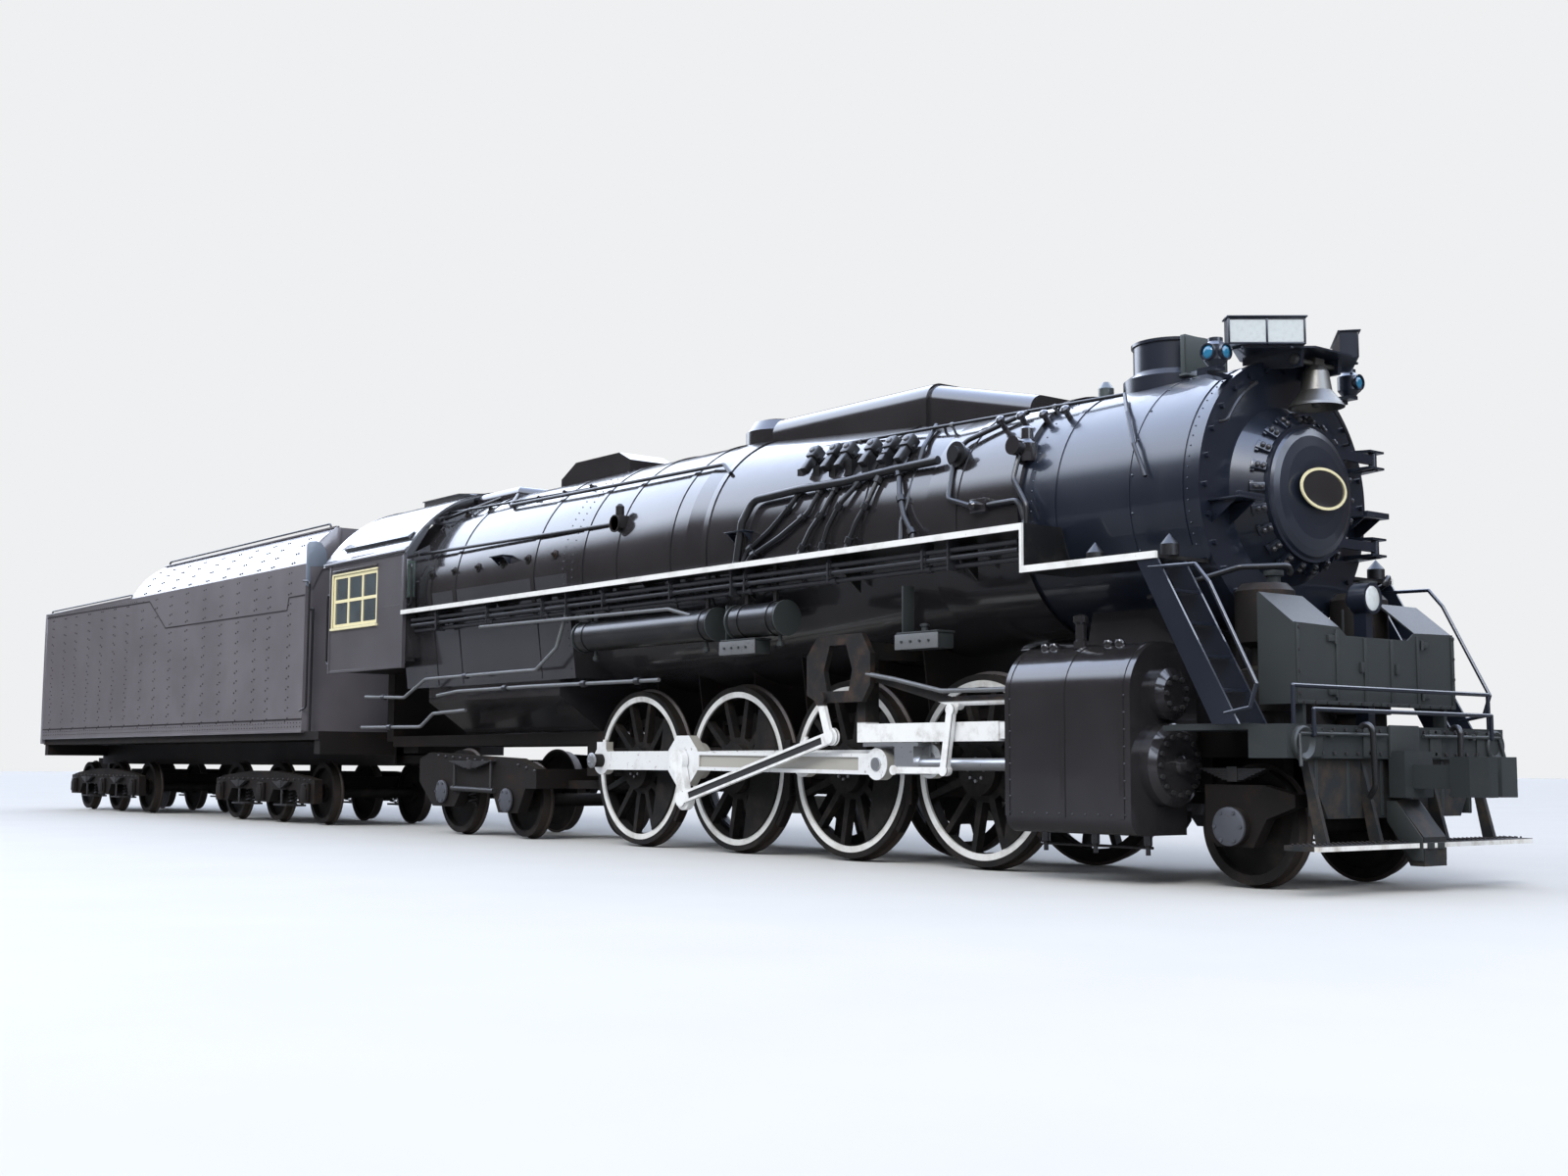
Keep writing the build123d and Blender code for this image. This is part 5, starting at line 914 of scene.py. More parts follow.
for _ in both(tank, sheet):
    tank.blocks(
        ((REAR_X - 0.006, -9.85), (1.5, 1.606), (DECK_Z, 3.882), 0.003),
        ((REAR_X - 0.006, -9.85), (1.594, 1.606), (3.84, 3.905), 0.003),
        ((-9.5, FRONT_EDGE), (1.09, 1.14), (4.45, 4.475), 0.005),
        ((REAR_X - 0.01, REAR_X + 0.1), (1.54, 1.611), (1.3, 3.86), 0.01),
        ((REAR_X, FRONT_EDGE), (1.55, 1.609), (1.385, 1.42), 0.006),
    )
    tank.plate([(1.06, 4.42), (1.15, 4.45), (1.4, 4.2), (1.57, 3.92), (1.6, 3.56), (1.5, 3.5), (1.36, 3.8),
                (1.12, 3.84)], "X", (-2.249, -2.232))
    sheet.plate([(1.27, 3.85), (1.3, 4.09), (1.38, 4.19), (1.46, 4.215), (1.57, 4.2), (1.6, 4.16),
                 (1.6, 3.56), (1.57, 3.53), (1.53, 3.53), (1.545, 3.83)], "X", (FRONT_EDGE, -2.226))
rails = sides(1.545, [(-14.7, 3.88), (-14.7, 3.955), (-9.95, 3.955), (-9.95, 3.88)])
rails += sides(1.115, [(-9.3, 4.46), (-9.3, 4.53), (-2.5, 4.53), (-2.5, 4.46)])
rails += sides(1.594, [(-2.34, 3.62), (-2.12, 3.6), (-2.12, 1.75), (-2.34, 1.7)])
rails += sides(1.5, [(-14.98, 3.7), (-15.05, 3.7), (-15.05, 2.1), (-14.98, 2.1)])
pipes("tender_grab_rails", rails, DARK_PIPE, 0.016, 0.06, body=TENDER_BODY)
deck = Form("tender_deck_fittings", TENDER, TENDER_BODY)
deck.turned([(0, 0.22), (0.03, 0.22), (0.05, 0.2), (0.05, 0.19), (0.02, 0.17), (0.02, 0)],
            (-13.9, 0.85, DECK_Z), UP)
for x in (-11.2, -10.6):
    deck.turned([(0, 0.1), (0.12, 0.1), (0.12, 0.12), (0.15, 0.12), (0.17, 0.06), (0.17, 0)],
                (x, -0.95, DECK_Z), UP, 24)
deck.block((-14.6, -14.3), (-0.4, 0.4), (DECK_Z, 3.96), 0.02)
for _ in both(deck):
    for y in (0.1, 0.28):
        deck.turned(disc(0.016, 0.07), (-13.25 + 0.9 * y, y + 0.1, 3.952), UP, 10)
deck.turned([(0, 0.1), (0.03, 0.13), (0.12, 0.13), (0.15, 0.12), (0.15, 0.1), (0.06, 0.09), (0.06, 0)], LAMP,
            BACK)
deck.block((-14.96, -14.9), (-0.05, 0.05), (3.36, 3.5), 0.01)
light = Form("tender_lamp_glass", CLEAR, TENDER_BODY, 60)
light.turned([(0.061, 0.095), (0.075, 0.085), (0.082, 0.04), (0.084, 0)], LAMP, BACK, 28)
ribs = [[(x, 3.74), (x, 4.42)] for x in (-8.9, -8.0, -7.1, -6.2, -5.3, -4.4, -3.5, -2.6)]
bands("bunker_stiffeners", sides(1.048, *ribs), FRAMES, 0.008, 0.06, OUT, body=TENDER_BODY)

# What dresses the cab
CAB_FRONT = 0.872
cab = Form("cab_side_trim", CAB)
sill = Form("cab_window_sills", CREAM)
front = Form("cab_front_window_frames", ENAMEL)
panes = Form("cab_front_window_panes", WINDOW)
for _ in both(cab, sill, front, panes):
    cab.plate([(1.5, 3.885), (1.606, 3.79), (1.609, 3.765), (1.575, 3.765)], "X", (-1.62, 0.92), 0.003)
    cab.blocks(
        ((-1.3, 0.1), (1.57, 1.609), (3.655, 3.672)),
        ((-1.45, 0.87), (1.57, 1.578), (2.215, 2.25), 0.003),
        ((0.83, CAB_FRONT), (1.57, 1.58), (2.21, 3.75), 0.003),
        ((-1.452, -1.41), (1.57, 1.582), (2.21, 3.75), 0.003),
    )
    sill.blocks(
        ((-1.36, 0.1), (1.55, 1.606), (2.818, 2.852), 0.006),
        ((-1.345, 0.085), (1.57, 1.59), (3.602, 3.625)),
        ((-1.352, -1.33), (1.57, 1.59), (2.85, 3.62)),
    )
    front.block((CAB_FRONT, 0.895), (1.41, 1.55), (3.14, 3.67), 0.006)
    front.turned(knob(0.03, 0.05, 0.015, 0.07), (CAB_FRONT, 1.36, 3.36), AHEAD, 12)
    front.block((CAB_FRONT, 0.884), (1.2, 1.5), (2.35, 2.9))
    panes.block((0.896, 0.9), (1.425, 1.535), (3.16, 3.65), 0.0)
for x in (-1.58, 0.88):
    arc = [(x, y, z) for y, z in arc3((-1.57, 3.79), (0, 4.706), (1.57, 3.79), 40)]
    bands("cab_roof_rib_%d" % round(100 * (x + 2)), [arc], ROOF, 0.045, 0.01)
vents = Form("cab_roof_ventilators", SMOKEBOX)
for s in (-1, 1):
    vents.place = Matrix.Translation((0, s * 1.42, 3.985)) @ Matrix.Rotation(s * math.radians(-38), 4, "X")
    vents.block((-1.2, 0.78), (-0.055, 0.055), (-0.01, 0.045), 0.012)
    vents.block((-1.24, 0.82), (-0.07, 0.07), (0.045, 0.056))
edges = sides(1.571, [(-1.43, 2.24), (0.85, 2.24)], [(-1.43, 2.3), (-1.43, 3.7)], [(0.8, 2.3), (0.8, 3.7)],
              [(0.2, 3.06), (0.8, 3.06)])
rivets("cab_rivets", edges, CAB, 0.085, 0.008)
grabs = sides(1.55, [(-1.45, 3.35), (-1.56, 3.35), (-1.56, 2.35), (-1.45, 2.35)])
grabs += sides(1.5, [(CAB_FRONT, 3.05), (0.95, 3.05), (0.95, 3.6), (CAB_FRONT, 3.6)])
pipes("cab_grab_rails", grabs, DARK_PIPE, 0.016, 0.05)

# The backhead, seen from the rear of the cab
HEAD_X = NODES["firebox_shell"].bound_box[0][0]
gauges = Form("backhead_fittings", STEEL_DARK)
faces = Form("gauge_faces", WHITE)
wheels = Form("backhead_handwheels", SIGNAL_RED)
for y, z, r in ((-0.3, 3.95, 0.1), (0, 4.02, 0.13), (0.3, 3.95, 0.1), (-0.55, 3.8, 0.075),
                (0.55, 3.8, 0.075)):
    gauges.turned([(0, r), (0.05, r), (0.06, r - 0.012), (0.045, r - 0.02), (0.03, r - 0.02), (0.03, 0)],
                  (HEAD_X, y, z), BACK, 28)
    faces.turned([(0.031, r - 0.02), (0.033, r - 0.02), (0.033, 0)], (HEAD_X, y, z), BACK, 28)
gauges.turned(knob(0.36, 0.03, 0.33, 0.05), (HEAD_X, 0, 2.72), BACK, 36)
for _ in both(gauges, wheels):
    gauges.plate([(0.02, 2.45), (0.3, 2.45), (0.3, 2.95), (0.16, 3.02), (0.02, 3.02)], "X",
                 (HEAD_X - 0.075, HEAD_X - 0.048), 0.008)
    gauges.bar((HEAD_X - 0.06, 0.7, 3.3), (HEAD_X - 0.06, 0.7, 3.72), 0.018)
    for z in (3.3, 3.72):
        gauges.block((HEAD_X - 0.08, HEAD_X), (0.67, 0.73), (z - 0.025, z + 0.025), 0.006)
    for i in range(4):
        x, y, z = HEAD_X - 0.1, 0.28 + 0.16 * i, 3.52 - 0.05 * i
        gauges.bar((HEAD_X, y, z), (x, y, z), 0.016)
        wheels.turned([(-0.008, 0.045), (0.008, 0.045), (0.008, 0.032), (-0.008, 0.032), (-0.008, 0.045)],
                      (x, y, z), AHEAD, 20)
        wheels.bar((x, y - 0.035, z), (x, y + 0.035, z), 0.006, 8)
        wheels.bar((x, y, z - 0.035), (x, y, z + 0.035), 0.006, 8)
gauges.bar((HEAD_X, -0.45, 3.7), (HEAD_X - 0.22, -0.45, 3.7), 0.03)
gauges.bar((HEAD_X - 0.2, -0.15, 3.62), (HEAD_X - 0.2, -0.95, 3.78), 0.016)
gauges.bar((HEAD_X - 0.05, -1.05, 2.35), (HEAD_X - 0.3, -1.05, 3.05), 0.02)

# Under the running boards: pipes, clamps, lubricators and the reservoirs' fittings
runs = [
    [(-0.45, 1.45, 1.86), (0.72, 1.45, 1.82), (1.32, 1.45, 2.045), (3.46, 1.45, 2.058), (4.14, 1.45, 2.06)],
    [(1.62, 1.43, 1.822), (2.17, 1.43, 1.862), (3.95, 1.43, 1.868), (6.7, 1.43, 1.853)],
    [(-0.59, 1.43, 1.438), (1.17, 1.43, 1.423), (1.52, 1.43, 1.59), (2.3, 1.38, 1.62)],
    [(2.85, 1.5, 2.644), (6.97, 1.5, 2.6), (7.39, 1.48, 2.5), (7.6, 1.4, 2.42)],
    [(10.0, 1.33, 1.8), (10.41, 1.35, 1.736), (11.04, 1.35, 1.609), (11.9, 1.33, 1.6)],
    [(4.14, 1.45, 2.06), (4.6, 1.45, 2.3), (4.9, 1.45, 2.88)],
]
pipes("lower_pipes", twins(runs), PIPE, 0.022, 0.12, 12)
RESERVOIR_Y, RESERVOIR_Z = 1.38, 2.4
clamps = Form("pipe_clamps", RUN_PIPE)
boxes = Form("lubricators_and_drains", SHIELD)
fronts = Form("lubricator_fronts", PIPE)
for _ in both(clamps, boxes, fronts):
    for i in range(8):
        x = 1.75 + 1.32 * i
        for y, z in ((1.5, 2.84), (1.5, 2.77), (1.44, 2.7)):
            clamps.turned(collar(0.03, 0.024, 0.036), (x, y, z), AHEAD, 14)
        clamps.block((x - 0.012, x + 0.012), (1.4, 1.545), (2.865, 2.925))
        clamps.block((x - 0.012, x + 0.012), (1.535, 1.545), (2.68, 2.925), 0.003)
    for x, z in ((0.1, 1.84), (2.4, 2.05), (3.4, 1.865), (5.2, 1.86), (0.3, 1.43), (6.3, 1.855)):
        clamps.turned(collar(0.045, 0.022, 0.04, 0.005), (x, 1.44, z), AHEAD, 12)
        clamps.block((x - 0.008, x + 0.008), (1.3, 1.44), (z - 0.01, z + 0.012), 0.003)
    for x0, x1, z in ((10.56, 11.13, 1.99), (7.86, 8.46, 2.06)):
        boxes.blocks(
            ((x0 + 0.02, x1 - 0.02), (1.26, 1.47), (z, z + 0.14), 0.015),
            ((x0 + 0.01, x1 - 0.01), (1.25, 1.475), (z + 0.14, z + 0.16), 0.008),
            ((x0 + 0.05, x0 + 0.07), (1.3, 1.44), (z + 0.14, 2.58), 0.003),
        )
        boxes.turned([(0, 0.03), (0.05, 0.03), (0.05, 0.045), (0.07, 0.045), (0.08, 0)],
                     ((x0 + x1) / 2, 1.37, z + 0.16), UP, 14)
        fronts.block((x0, x1), (1.47, 1.485), (z, z + 0.14), 0.012)
        for x in (x0 + 0.1, x0 + 0.22, x0 + 0.34, x0 + 0.46):
            boxes.bar((x, 1.48, z + 0.07), (x, 1.5, z + 0.07), 0.012, 8)
    for x in (5.35, 7.5, 8.15, 8.75):
        boxes.turned([(0, 0.02), (0.06, 0.02), (0.07, 0.035), (0.11, 0.035), (0.13, 0)],
                     (x, RESERVOIR_Y, 2.235), DOWN, 10)
    for x in (5.1, 7.7, 8.05, 8.85):
        boxes.turned(collar(0.012, 0.172, 0.18), (x, RESERVOIR_Y, RESERVOIR_Z), AHEAD)

# Waist sheets that carry the barrel, with the angle iron along each foot
FOOT_Z, FOOT_Y = 1.26, 0.56
waist = Form("waist_sheets", FRAMES)
saddle = [(y, BOILER_Z + 0.004 - math.sqrt(BARREL_R ** 2 - y ** 2))
          for y in (0.6, 0.4, 0.2, 0, -0.2, -0.4, -0.6)]
for x in (5.45, 7.3, 9.2):
    for top, span in ((saddle, (x - 0.009, x + 0.009)),
                      ([(FOOT_Y, FOOT_Z + 0.012), (-FOOT_Y, FOOT_Z + 0.012)], (x - 0.008, x + 0.085)),
                      ([(FOOT_Y, FOOT_Z + 0.09), (-FOOT_Y, FOOT_Z + 0.09)], (x + 0.008, x + 0.02))):
        waist.plate([(-FOOT_Y, FOOT_Z), (FOOT_Y, FOOT_Z), *top], "X", span)

# Cylinders: jacket bands, head bolts, valves and drains
CYLINDER_Y, CYLINDER_Z, CHEST_Z = 1.17, 0.955, 1.52
jacket = Form("cylinder_fittings", ENAMEL)
for _ in both(jacket):
    for x in (12.25, 12.35, 12.95, 13.07):
        jacket.turned(knob(0.045, 0.025, 0.03, 0.05), (x, 1.28, 1.925), (0, 0.25, 1), 16)
    jacket.turned([(0, 0.06), (0.06, 0.06), (0.08, 0.045), (0.2, 0.045), (0.22, 0.065), (0.27, 0.065),
                   (0.29, 0.02), (0.29, 0)], (12.66, 1.3, 1.91), UP, 20)
    jacket.turned([(0, 0.075), (0.03, 0.075), (0.05, 0.05), (0.11, 0.05), (0.12, 0)],
                  (13.56, CYLINDER_Y, CYLINDER_Z), AHEAD, 24)
    for x in (12.2, 12.75, 13.3):
        jacket.turned([(0, 0.035), (0.08, 0.035), (0.1, 0.02), (0.16, 0.02), (0.16, 0)], (x, 1.25, 0.4),
                      DOWN, 12)
    jacket.bar((12.15, 1.25, 0.3), (13.35, 1.25, 0.3), 0.012, 8)
turns = [math.pi / 2 * i / 10 for i in range(1, 11)]
band = [(1.603, 0.53), (1.603, CHEST_Z)]
band += [(1.18 + 0.423 * math.cos(t), CHEST_Z + 0.423 * math.sin(t)) for t in turns]
number = 0
for s, side in ((-1, "right"), (1, "left")):
    for x in (12.1, 12.72, 13.34):
        bands("cylinder_band_%d_%s" % (round(100 * x), side), [[(x, s * y, z) for y, z in band]], ENAMEL,
              0.05, 0.008)
    for x, z, r in ((13.562, CYLINDER_Z, 0.235), (13.542, CHEST_Z, 0.125)):
        studs = [(x, s * y, z) for x, y, z in ring(x, CYLINDER_Y, z, r, 40)]
        bolts("cylinder_head_bolts_%d" % number, [studs], STEEL_DARK, 0.095, 0.02, 0.045, closed=True)
        number += 1
edges = sides(1.601, [(12.13, 0.56), (12.13, 1.5)], [(13.37, 0.56), (13.37, 1.5)],
              [(12.13, 0.56), (13.37, 0.56)])
rivets("cylinder_screws", edges, STEEL_DARK, 0.13, 0.009)

# Front beam, shields, footboards and nose
SHIELD_X, BEAM_X = 14.6, 14.79
front = Form("front_beam_fittings", SHIELD)
for _ in both(front):
    front.turned([(0, 0.13), (0.035, 0.13), (0.045, 0.115), (0.02, 0.075), (0.02, 0)], (BEAM_X, 1.3, 1.12),
                 AHEAD, 24)
    front.blocks(
        ((SHIELD_X, 14.612), (0.53, 0.57), (1.44, 2.0), 0.003),
        ((SHIELD_X, 14.612), (0.16, 0.2), (1.44, 1.95), 0.003),
        ((SHIELD_X, 14.625), (0.22, 0.26), (1.68, 1.76)),
        ((SHIELD_X, 14.615), (0.02, 1.07), (1.42, 1.45), 0.003),
        ((SHIELD_X, 14.615), (1.035, 1.07), (1.45, 2.02), 0.003),
        ((BEAM_X, 14.805), (0.37, 0.53), (1.02, 1.24), 0.006),
        ((BEAM_X, 14.805), (1.05, 1.21), (1.02, 1.24), 0.006),
        ((BEAM_X, 14.83), (0.95, 0.99), (1.165, 1.215)),
        ((13.7, 14.44), (1.3, 1.46), (1.26, 1.268), 0.003),
    )
    for z in (1.52, 1.93):
        front.block((SHIELD_X, 14.625), (0.6, 0.68), (z - 0.025, z + 0.025))
        front.bar((14.62, 0.59, z - 0.04), (14.62, 0.59, z + 0.04), 0.012, 8)
    for y in (0.18, 0.62, 1.02):
        front.block((14.665, 14.735), (y, y + 0.04), (0.58, 1.0), 0.006)
    front.plate([(14.745, 0.69), (14.83, 0.69), (15.045, 0.41), (15.045, 0.24), (14.95, 0.24),
                 (14.745, 0.53)], "Y", (0.151, 0.165), 0.006)
    for i in range(3):
        z = 0.33 + 0.1 * i
        front.block((14.96 - 0.065 * i, 15.066 - 0.077 * i), (0.03, 0.11), (z, z + 0.05), 0.006)
    front.bar((14.82, 0.25, 1.19), (14.82, 1.36, 1.19), 0.014, 10)
    front.bar((14.82, 1.36, 1.19), (14.86, 1.4, 0.95), 0.014, 10)
    front.turned([(0, 0.055), (0.05, 0.055), (0.06, 0.08), (0.1, 0.08), (0.11, 0)], (14.1, 0.64, 2.39), UP,
                 16)
    front.bar((14.01, 0.42, 1.55), (14.01, 0.42, 2.25), 0.02, 10)
front.block((BEAM_X, 14.82), (-0.2, 0.2), (1.02, 1.27), 0.012)
lines = twins([
    [(14.612, 1.05, 1.5), (14.612, 1.05, 2.0)],
    [(14.612, 0.1, 1.435), (14.612, 1.0, 1.435)],
    [(14.795, 0.3, 1.05), (14.795, 1.2, 1.05)],
    [(14.795, 0.3, 1.225), (14.795, 1.2, 1.225)],
])
bolts("front_beam_bolts", lines, STEEL_DARK, 0.13, 0.016, 0.02)
treads = twins([[(x, 0.2, 0.384), (x, 1.43, 0.384)] for x in (14.79, 14.84, 14.89, 14.94)])
rivets("footboard_treads", treads, FRAMES, 0.06, 0.01)
lines = twins([
    [(14.25, 0.64, 2.45), (14.3, 0.64, 2.52), (14.05, 1.0, 2.5), (13.7, 1.15, 2.4), (13.3, 1.2, 2.3)],
    [(14.84, 0.62, 1.24), (14.88, 0.62, 1.32), (14.93, 0.6, 1.22), (14.93, 0.58, 0.8), (14.86, 0.56, 0.72)],
])
pipes("front_pipes", lines, DARK_PIPE, 0.024, 0.08, 12)


# Trucks: journal covers, springs and bolts
COIL_STEPS = 14


def coil(x, y, low, high, radius, turns):
    """Points of a coil spring about an upright axis."""
    count = COIL_STEPS * turns
    angles = [math.tau * i / COIL_STEPS for i in range(count + 1)]
    return [(x + radius * math.cos(t), y + radius * math.sin(t), low + (high - low) * i / count)
            for i, t in enumerate(angles)]


def leaf_spring(form, x, y, z, length):
    """A stack of leaves with its buckle, longest at the top."""
    for i in range(7):
        half = length / 2 * (1 - 0.11 * i)
        form.block((x - half, x + half), y, (z - 0.013 * (i + 1), z - 0.013 * i - 0.001), 0.003)
    form.block((x - 0.05, x + 0.05), (y[0] - 0.008, y[1] + 0.008), (z - 0.105, z + 0.012), 0.005)


def bolt_ring(form, x, y, z, radius, count, head, turn=0.0):
    """Hexagon heads in a ring on an upright face of a wheel or cover."""
    for k in range(count):
        t = math.tau * k / count + turn
        form.turned(disc(*head), (x + radius * math.cos(t), y, z + radius * math.sin(t)), OUT, 6)


def journals(name, body, places, y):
    """Round covers with a ring of bolts, on both ends of each axle."""
    covers = Form(name, COVER, body)
    for _ in both(covers):
        for x, z in places:
            covers.turned(knob(0.15, 0.022, 0.12, 0.034), (x, y, z), OUT, 28)
            bolt_ring(covers, x, y + 0.02, z, 0.12, 6, (0.016, 0.024))


TRUCK_Y = 1.062
SPRING_Y = (1.065, 1.14)
journals("lead_journal_covers", "lead_truck", [(LEAD_X, SMALL_Z)], 1.07)
journals("trailing_journal_covers", "trailing_truck", [(TRAILER_X[0], SMALL_Z), (TRAILER_X[1], TRAILER_Z)],
         1.082)
lead = Form("lead_truck_springs", STEEL_DARK, "lead_truck")
trailing = Form("trailing_truck_springs", STEEL_DARK, "trailing_truck")
for _ in both(lead, trailing):
    leaf_spring(lead, LEAD_X, (0.93, 1.03), 0.935, 0.62)
    leaf_spring(trailing, 2.0, (1.065, 1.15), 0.98, 1.1)
    for x in (1.52, 2.48):
        trailing.bar((x, 1.1, 0.6), (x, 1.1, 0.98), 0.02, 10)
    trailing.bar((1.45, 1.09, 0.62), (2.55, 1.09, 0.6), 0.035)
coils = [coil(x, s * 0.86, 0.4, 0.88, 0.06, 6) for s in (-1, 1) for x in (1.62, 2.38)]
pipes("trailing_coils", coils, STEEL_DARK, 0.013, 0.0, 8, body="trailing_truck")
lines = sides(TRUCK_Y, [(1.0, 1.05), (2.4, 0.97)], [(3.1, 0.93), (3.5, 0.86)])
rivets("trailing_truck_bolts", lines, STEEL_DARK, 0.18, 0.02, body="trailing_truck")
for end, middle in (("front", -4.9), ("rear", -12.6)):
    body = "tender_truck_" + end
    boxes = Form("tender_%s_journal_boxes" % end, FRAMES, body)
    springs = Form("tender_%s_springs" % end, STEEL_DARK, body)
    coils = []
    for s in both(boxes, springs):
        for x in (middle - 1.7, middle, middle + 1.7):
            boxes.block((x - 0.12, x + 0.12), (TRUCK_Y, 1.112), (SMALL_Z - 0.14, SMALL_Z + 0.15), 0.02)
            lid = ((-0.1, -0.1), (0.1, -0.1), (0.1, 0.06), (0.04, 0.12), (-0.04, 0.12), (-0.1, 0.06))
            boxes.plate([(x + dx, SMALL_Z + dz) for dx, dz in lid], "Y", (1.112, 1.13), 0.006)
            boxes.bar((x - 0.05, 1.122, SMALL_Z + 0.115), (x + 0.05, 1.122, SMALL_Z + 0.115), 0.014, 8)
        for x in (middle - 0.85, middle + 0.85):
            leaf_spring(springs, x, SPRING_Y, 0.66, 0.6)
            springs.block((x - 0.22, x + 0.22), (0.79, 0.93), (0.27, 0.3), 0.006)
            springs.bar((x, 1.1, 0.53), (x, 1.1, 0.3), 0.02, 10)
            springs.block((x - 0.25, x + 0.25), (0.93, 1.13), (0.28, 0.305), 0.006)
            coils += [coil(x + d, s * 0.86, 0.3, 0.53, 0.055, 4) for d in (-0.13, 0.13)]
    pipes("tender_%s_coils" % end, coils, STEEL_DARK, 0.013, 0.0, 8, body=body)
    lines = sides(TRUCK_Y, [(middle - 1.8, SMALL_Z + 0.2), (middle + 1.8, SMALL_Z + 0.2)])
    rivets("tender_%s_bolts" % end, lines, STEEL_DARK, 0.2, 0.018, body=body)

# Wheels and motion: pin caps, hub bolts, oil cups
THROW = 0.432
PIN_ANGLE = {-1: 169.3, 1: 259.3}
MAIN_DRIVER = 2
PIN_END = (1.072, 1.076, 1.076, 1.195)
CAP_DEPTH = (0.45, 1.0, 1.0, 1.0)


def crank_pin(x, side):
    """Where a driver's crank pin stands: the left-hand one follows a quarter turn behind."""
    t = math.radians(PIN_ANGLE[side])
    return x + THROW * math.cos(t), DRIVER_Z + THROW * math.sin(t)


for i, x in enumerate(DRIVER_X):
    caps = Form("driver_pin_caps_%d" % (i + 1), STEEL, "drivers_%d" % (i + 1))
    deep = CAP_DEPTH[i]
    for s in both(caps):
        px, pz = crank_pin(x, s)
        if i != MAIN_DRIVER:
            caps.turned(knob(0.088, 0.012 * deep, 0.078, 0.018 * deep), (px, PIN_END[i], pz), OUT, 28)
            bolt_ring(caps, px, PIN_END[i], pz, 0.055, 4, (0.014, 0.026 * deep), 0.4)
        bolt_ring(caps, x, 0.878, DRIVER_Z, 0.1, 8, (0.016, 0.02))
for s, side in ((-1, "right"), (1, "left")):
    cups = Form("rod_oil_cups_" + side, WHITE, "side_rod_" + side)
    for x in DRIVER_X:
        px, pz = crank_pin(x, s)
        cups.turned([(-0.03, 0.045), (0.03, 0.04), (0.045, 0.025), (0.07, 0.025), (0.075, 0)],
                    (px, s * 1.02, pz + 0.17), UP, 12)

# The bell's clapper, and the caps on its pivots
clapper = Form("bell_clapper", STEEL_DARK, "bell")
clapper.bar((14.09, 0, 4.18), (14.09, 0, 3.95), 0.012, 10)
clapper.turned([(0, 0), (0.01, 0.03), (0.04, 0.042), (0.07, 0.03), (0.08, 0)], (14.09, 0, 3.96), DOWN, 20)
pivots = Form("bell_pivot_caps", STEEL_DARK)
for _ in both(pivots):
    pivots.turned(knob(0.045, 0.02, 0.03, 0.03), (14.09, 0.275, 4.25), OUT, 20)

for form in Form.started:
    form.done()


# Camera, lights and floor

def aim(o, place, yaw, pitch, roll):
    """Stands the camera at a place and turns it; yaw is from the Y axis, and all are in radians."""
    look = Vector((math.sin(yaw) * math.cos(pitch), math.cos(yaw) * math.cos(pitch), math.sin(pitch)))
    level = Vector((math.cos(yaw), -math.sin(yaw), 0))
    upright = level.cross(look)
    right = level * math.cos(roll) + upright * math.sin(roll)
    up = upright * math.cos(roll) - level * math.sin(roll)
    m = Matrix((right, up, -look)).transposed().to_4x4()
    m.translation = place
    o.matrix_world = m


FOCAL_PIXELS, PHOTO_WIDTH, SENSOR = 1832.5, 1600, 36
camera = bpy.data.cameras.new("camera")
camera.sensor_width = SENSOR
camera.lens = FOCAL_PIXELS * SENSOR / PHOTO_WIDTH
camera.clip_end = 400
eye = bpy.data.objects.new("camera", camera)
bpy.context.collection.objects.link(eye)
aim(eye, (22.755, -12.474, 0.938), -0.899, 0.0985, 0.0048)
bpy.context.scene.camera = eye

# The studio's dome: an even pale light, and for reflections a dark lower wall under a bright upper one.
# Along the engine's length the mirrored sky starts lower than across it.
SKY_GLOSS = 5.0
LOW_SKY_FROM, LOW_SKY_BY = 0.75, 0.34
world = bpy.data.worlds.new("studio")
bpy.context.scene.world = world
world.use_nodes = True
studio = Nodes(world.node_tree)
background = studio.tree.nodes["Background"]
mirrored_ray = studio.node("ShaderNodeLightPath", {}, [], "Is Glossy Ray")
camera_ray = studio.node("ShaderNodeLightPath", {}, [], "Is Camera Ray")
way = studio.node("ShaderNodeTexCoord", {}, [], "Generated")
along, across, height = studio.node("ShaderNodeSeparateXYZ", {}, [way])
height += studio.node("ShaderNodeMapRange", {}, [abs(along), LOW_SKY_FROM, 1.0, 0.0, LOW_SKY_BY])[0]
bright = studio.mix(height.ramp(0.5, 1.0), (0.76, 0.84, 1.0), (0.52, 0.64, 0.95))
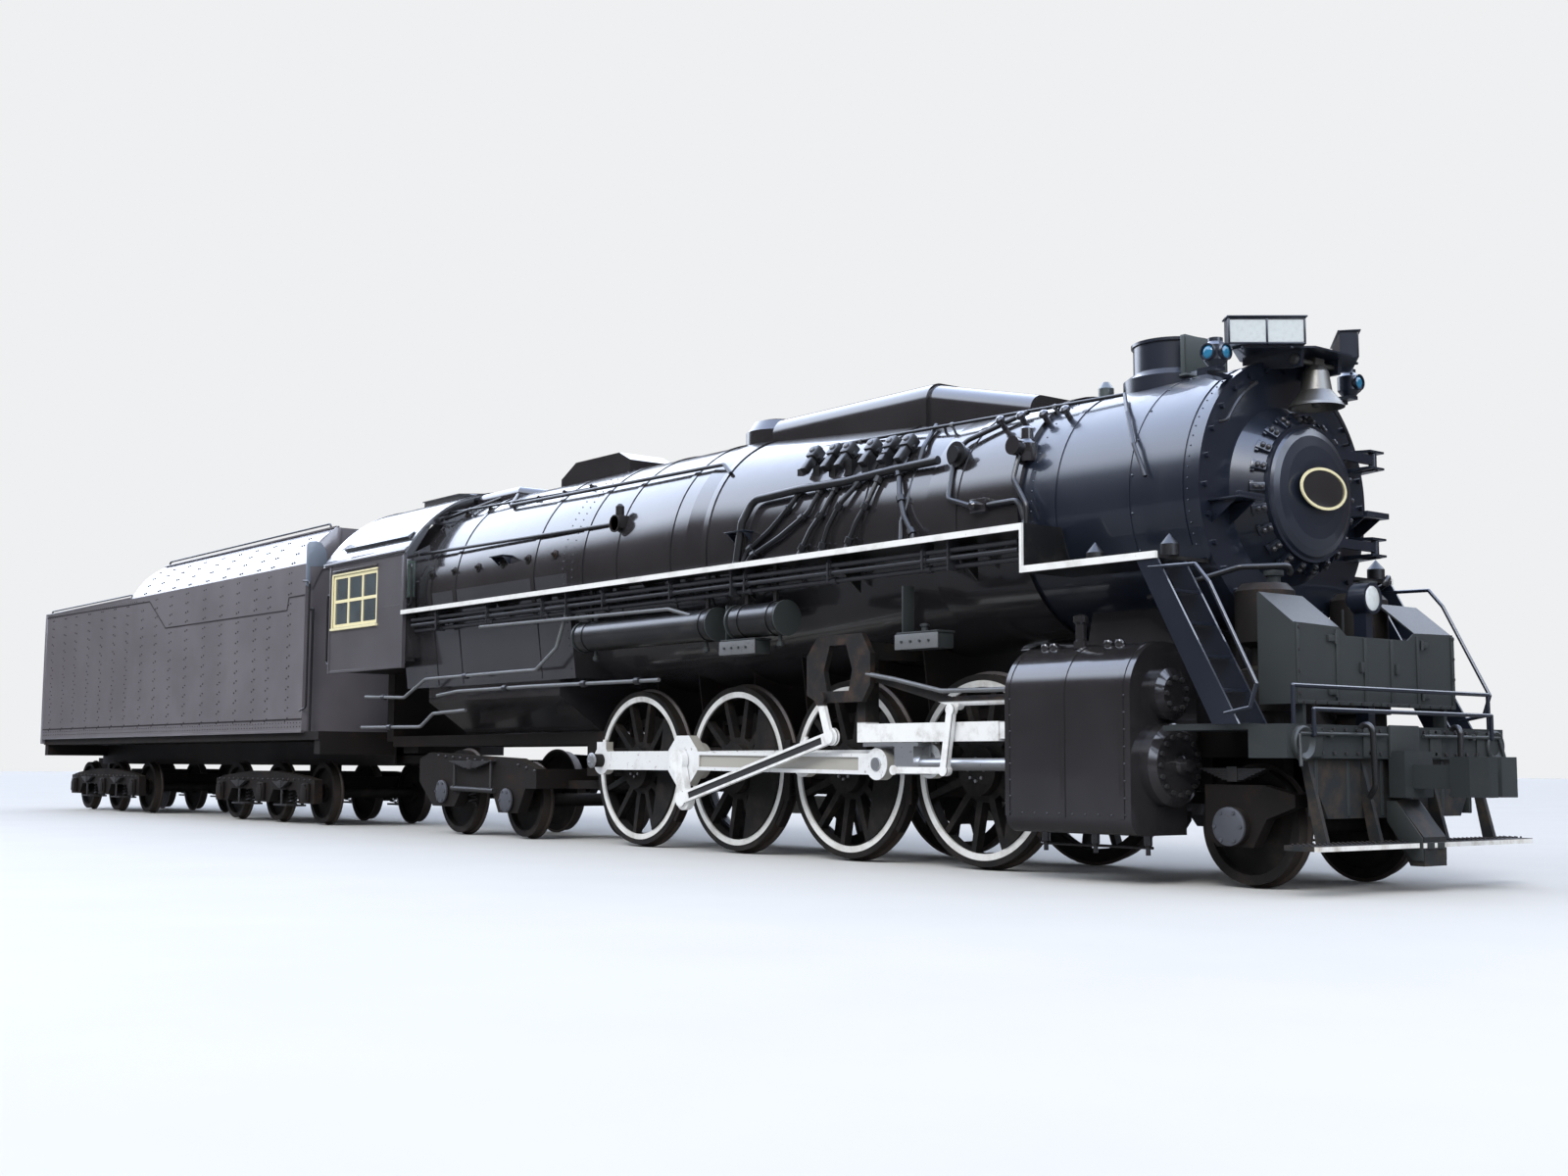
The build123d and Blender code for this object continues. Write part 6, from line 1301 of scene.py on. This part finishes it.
mirror_view = studio.mix(height.ramp(0.4, 0.56), (0.016, 0.014, 0.014), bright)
tone = studio.mix(mirrored_ray, (0.6, 0.645, 0.71), mirror_view)
studio.feed(background.inputs["Color"], studio.mix(camera_ray, tone, (0.86, 0.87, 0.88)))
studio.feed(background.inputs["Strength"], mirrored_ray * (SKY_GLOSS - 1.0) + 1.0)


def lamp(name, kind, place, target, energy, size, colour):
    """A sun, or a panel of light that no reflection shows."""
    data = bpy.data.lights.new(name, kind)
    data.energy = energy
    data.color = colour
    if kind == "AREA":
        data.shape = "RECTANGLE"
        data.size, data.size_y = size
    else:
        data.angle = size
    o = bpy.data.objects.new(name, data)
    bpy.context.collection.objects.link(o)
    way = (Vector(target) - Vector(place)).normalized()
    o.rotation_euler = way.to_track_quat("-Z", "Y").to_euler()
    o.location = place
    o.visible_glossy = kind == "SUN"


lamp("sun", "SUN", (30, -40, 40), (4, 0, 2), 1.6, math.radians(25), (1.0, 0.97, 0.93))
lamp("long_panel", "AREA", (4, -22, 16), (4, 0, 2), 2600, (34, 8), (0.93, 0.97, 1.0))
lamp("front_panel", "AREA", (34, -6, 10), (15, 0, 2.5), 1200, (10, 10), (1.0, 1.0, 1.0))

FLOOR_HALF = 160
ground = Paint("pale_studio_floor")
pale = ground.mix(ground.noise(0.6, 3.0), (0.62, 0.62, 0.61), (0.68, 0.68, 0.675))
glossy = ground.node("ShaderNodeLightPath", {}, [], "Is Glossy Ray")
ground.set(colour=ground.mix(glossy, pale, (0.1, 0.095, 0.09)), rough=0.8)
corners = [(-FLOOR_HALF, -FLOOR_HALF, 0), (FLOOR_HALF, -FLOOR_HALF, 0), (FLOOR_HALF, FLOOR_HALF, 0),
           (-FLOOR_HALF, FLOOR_HALF, 0)]
mesh = bpy.data.meshes.new("floor")
mesh.from_pydata(corners, [], [(0, 1, 2, 3)])
mesh.materials.append(ground.material)
floor = bpy.data.objects.new("floor", mesh)
bpy.context.collection.objects.link(floor)

bpy.context.scene.view_settings.view_transform = "Standard"
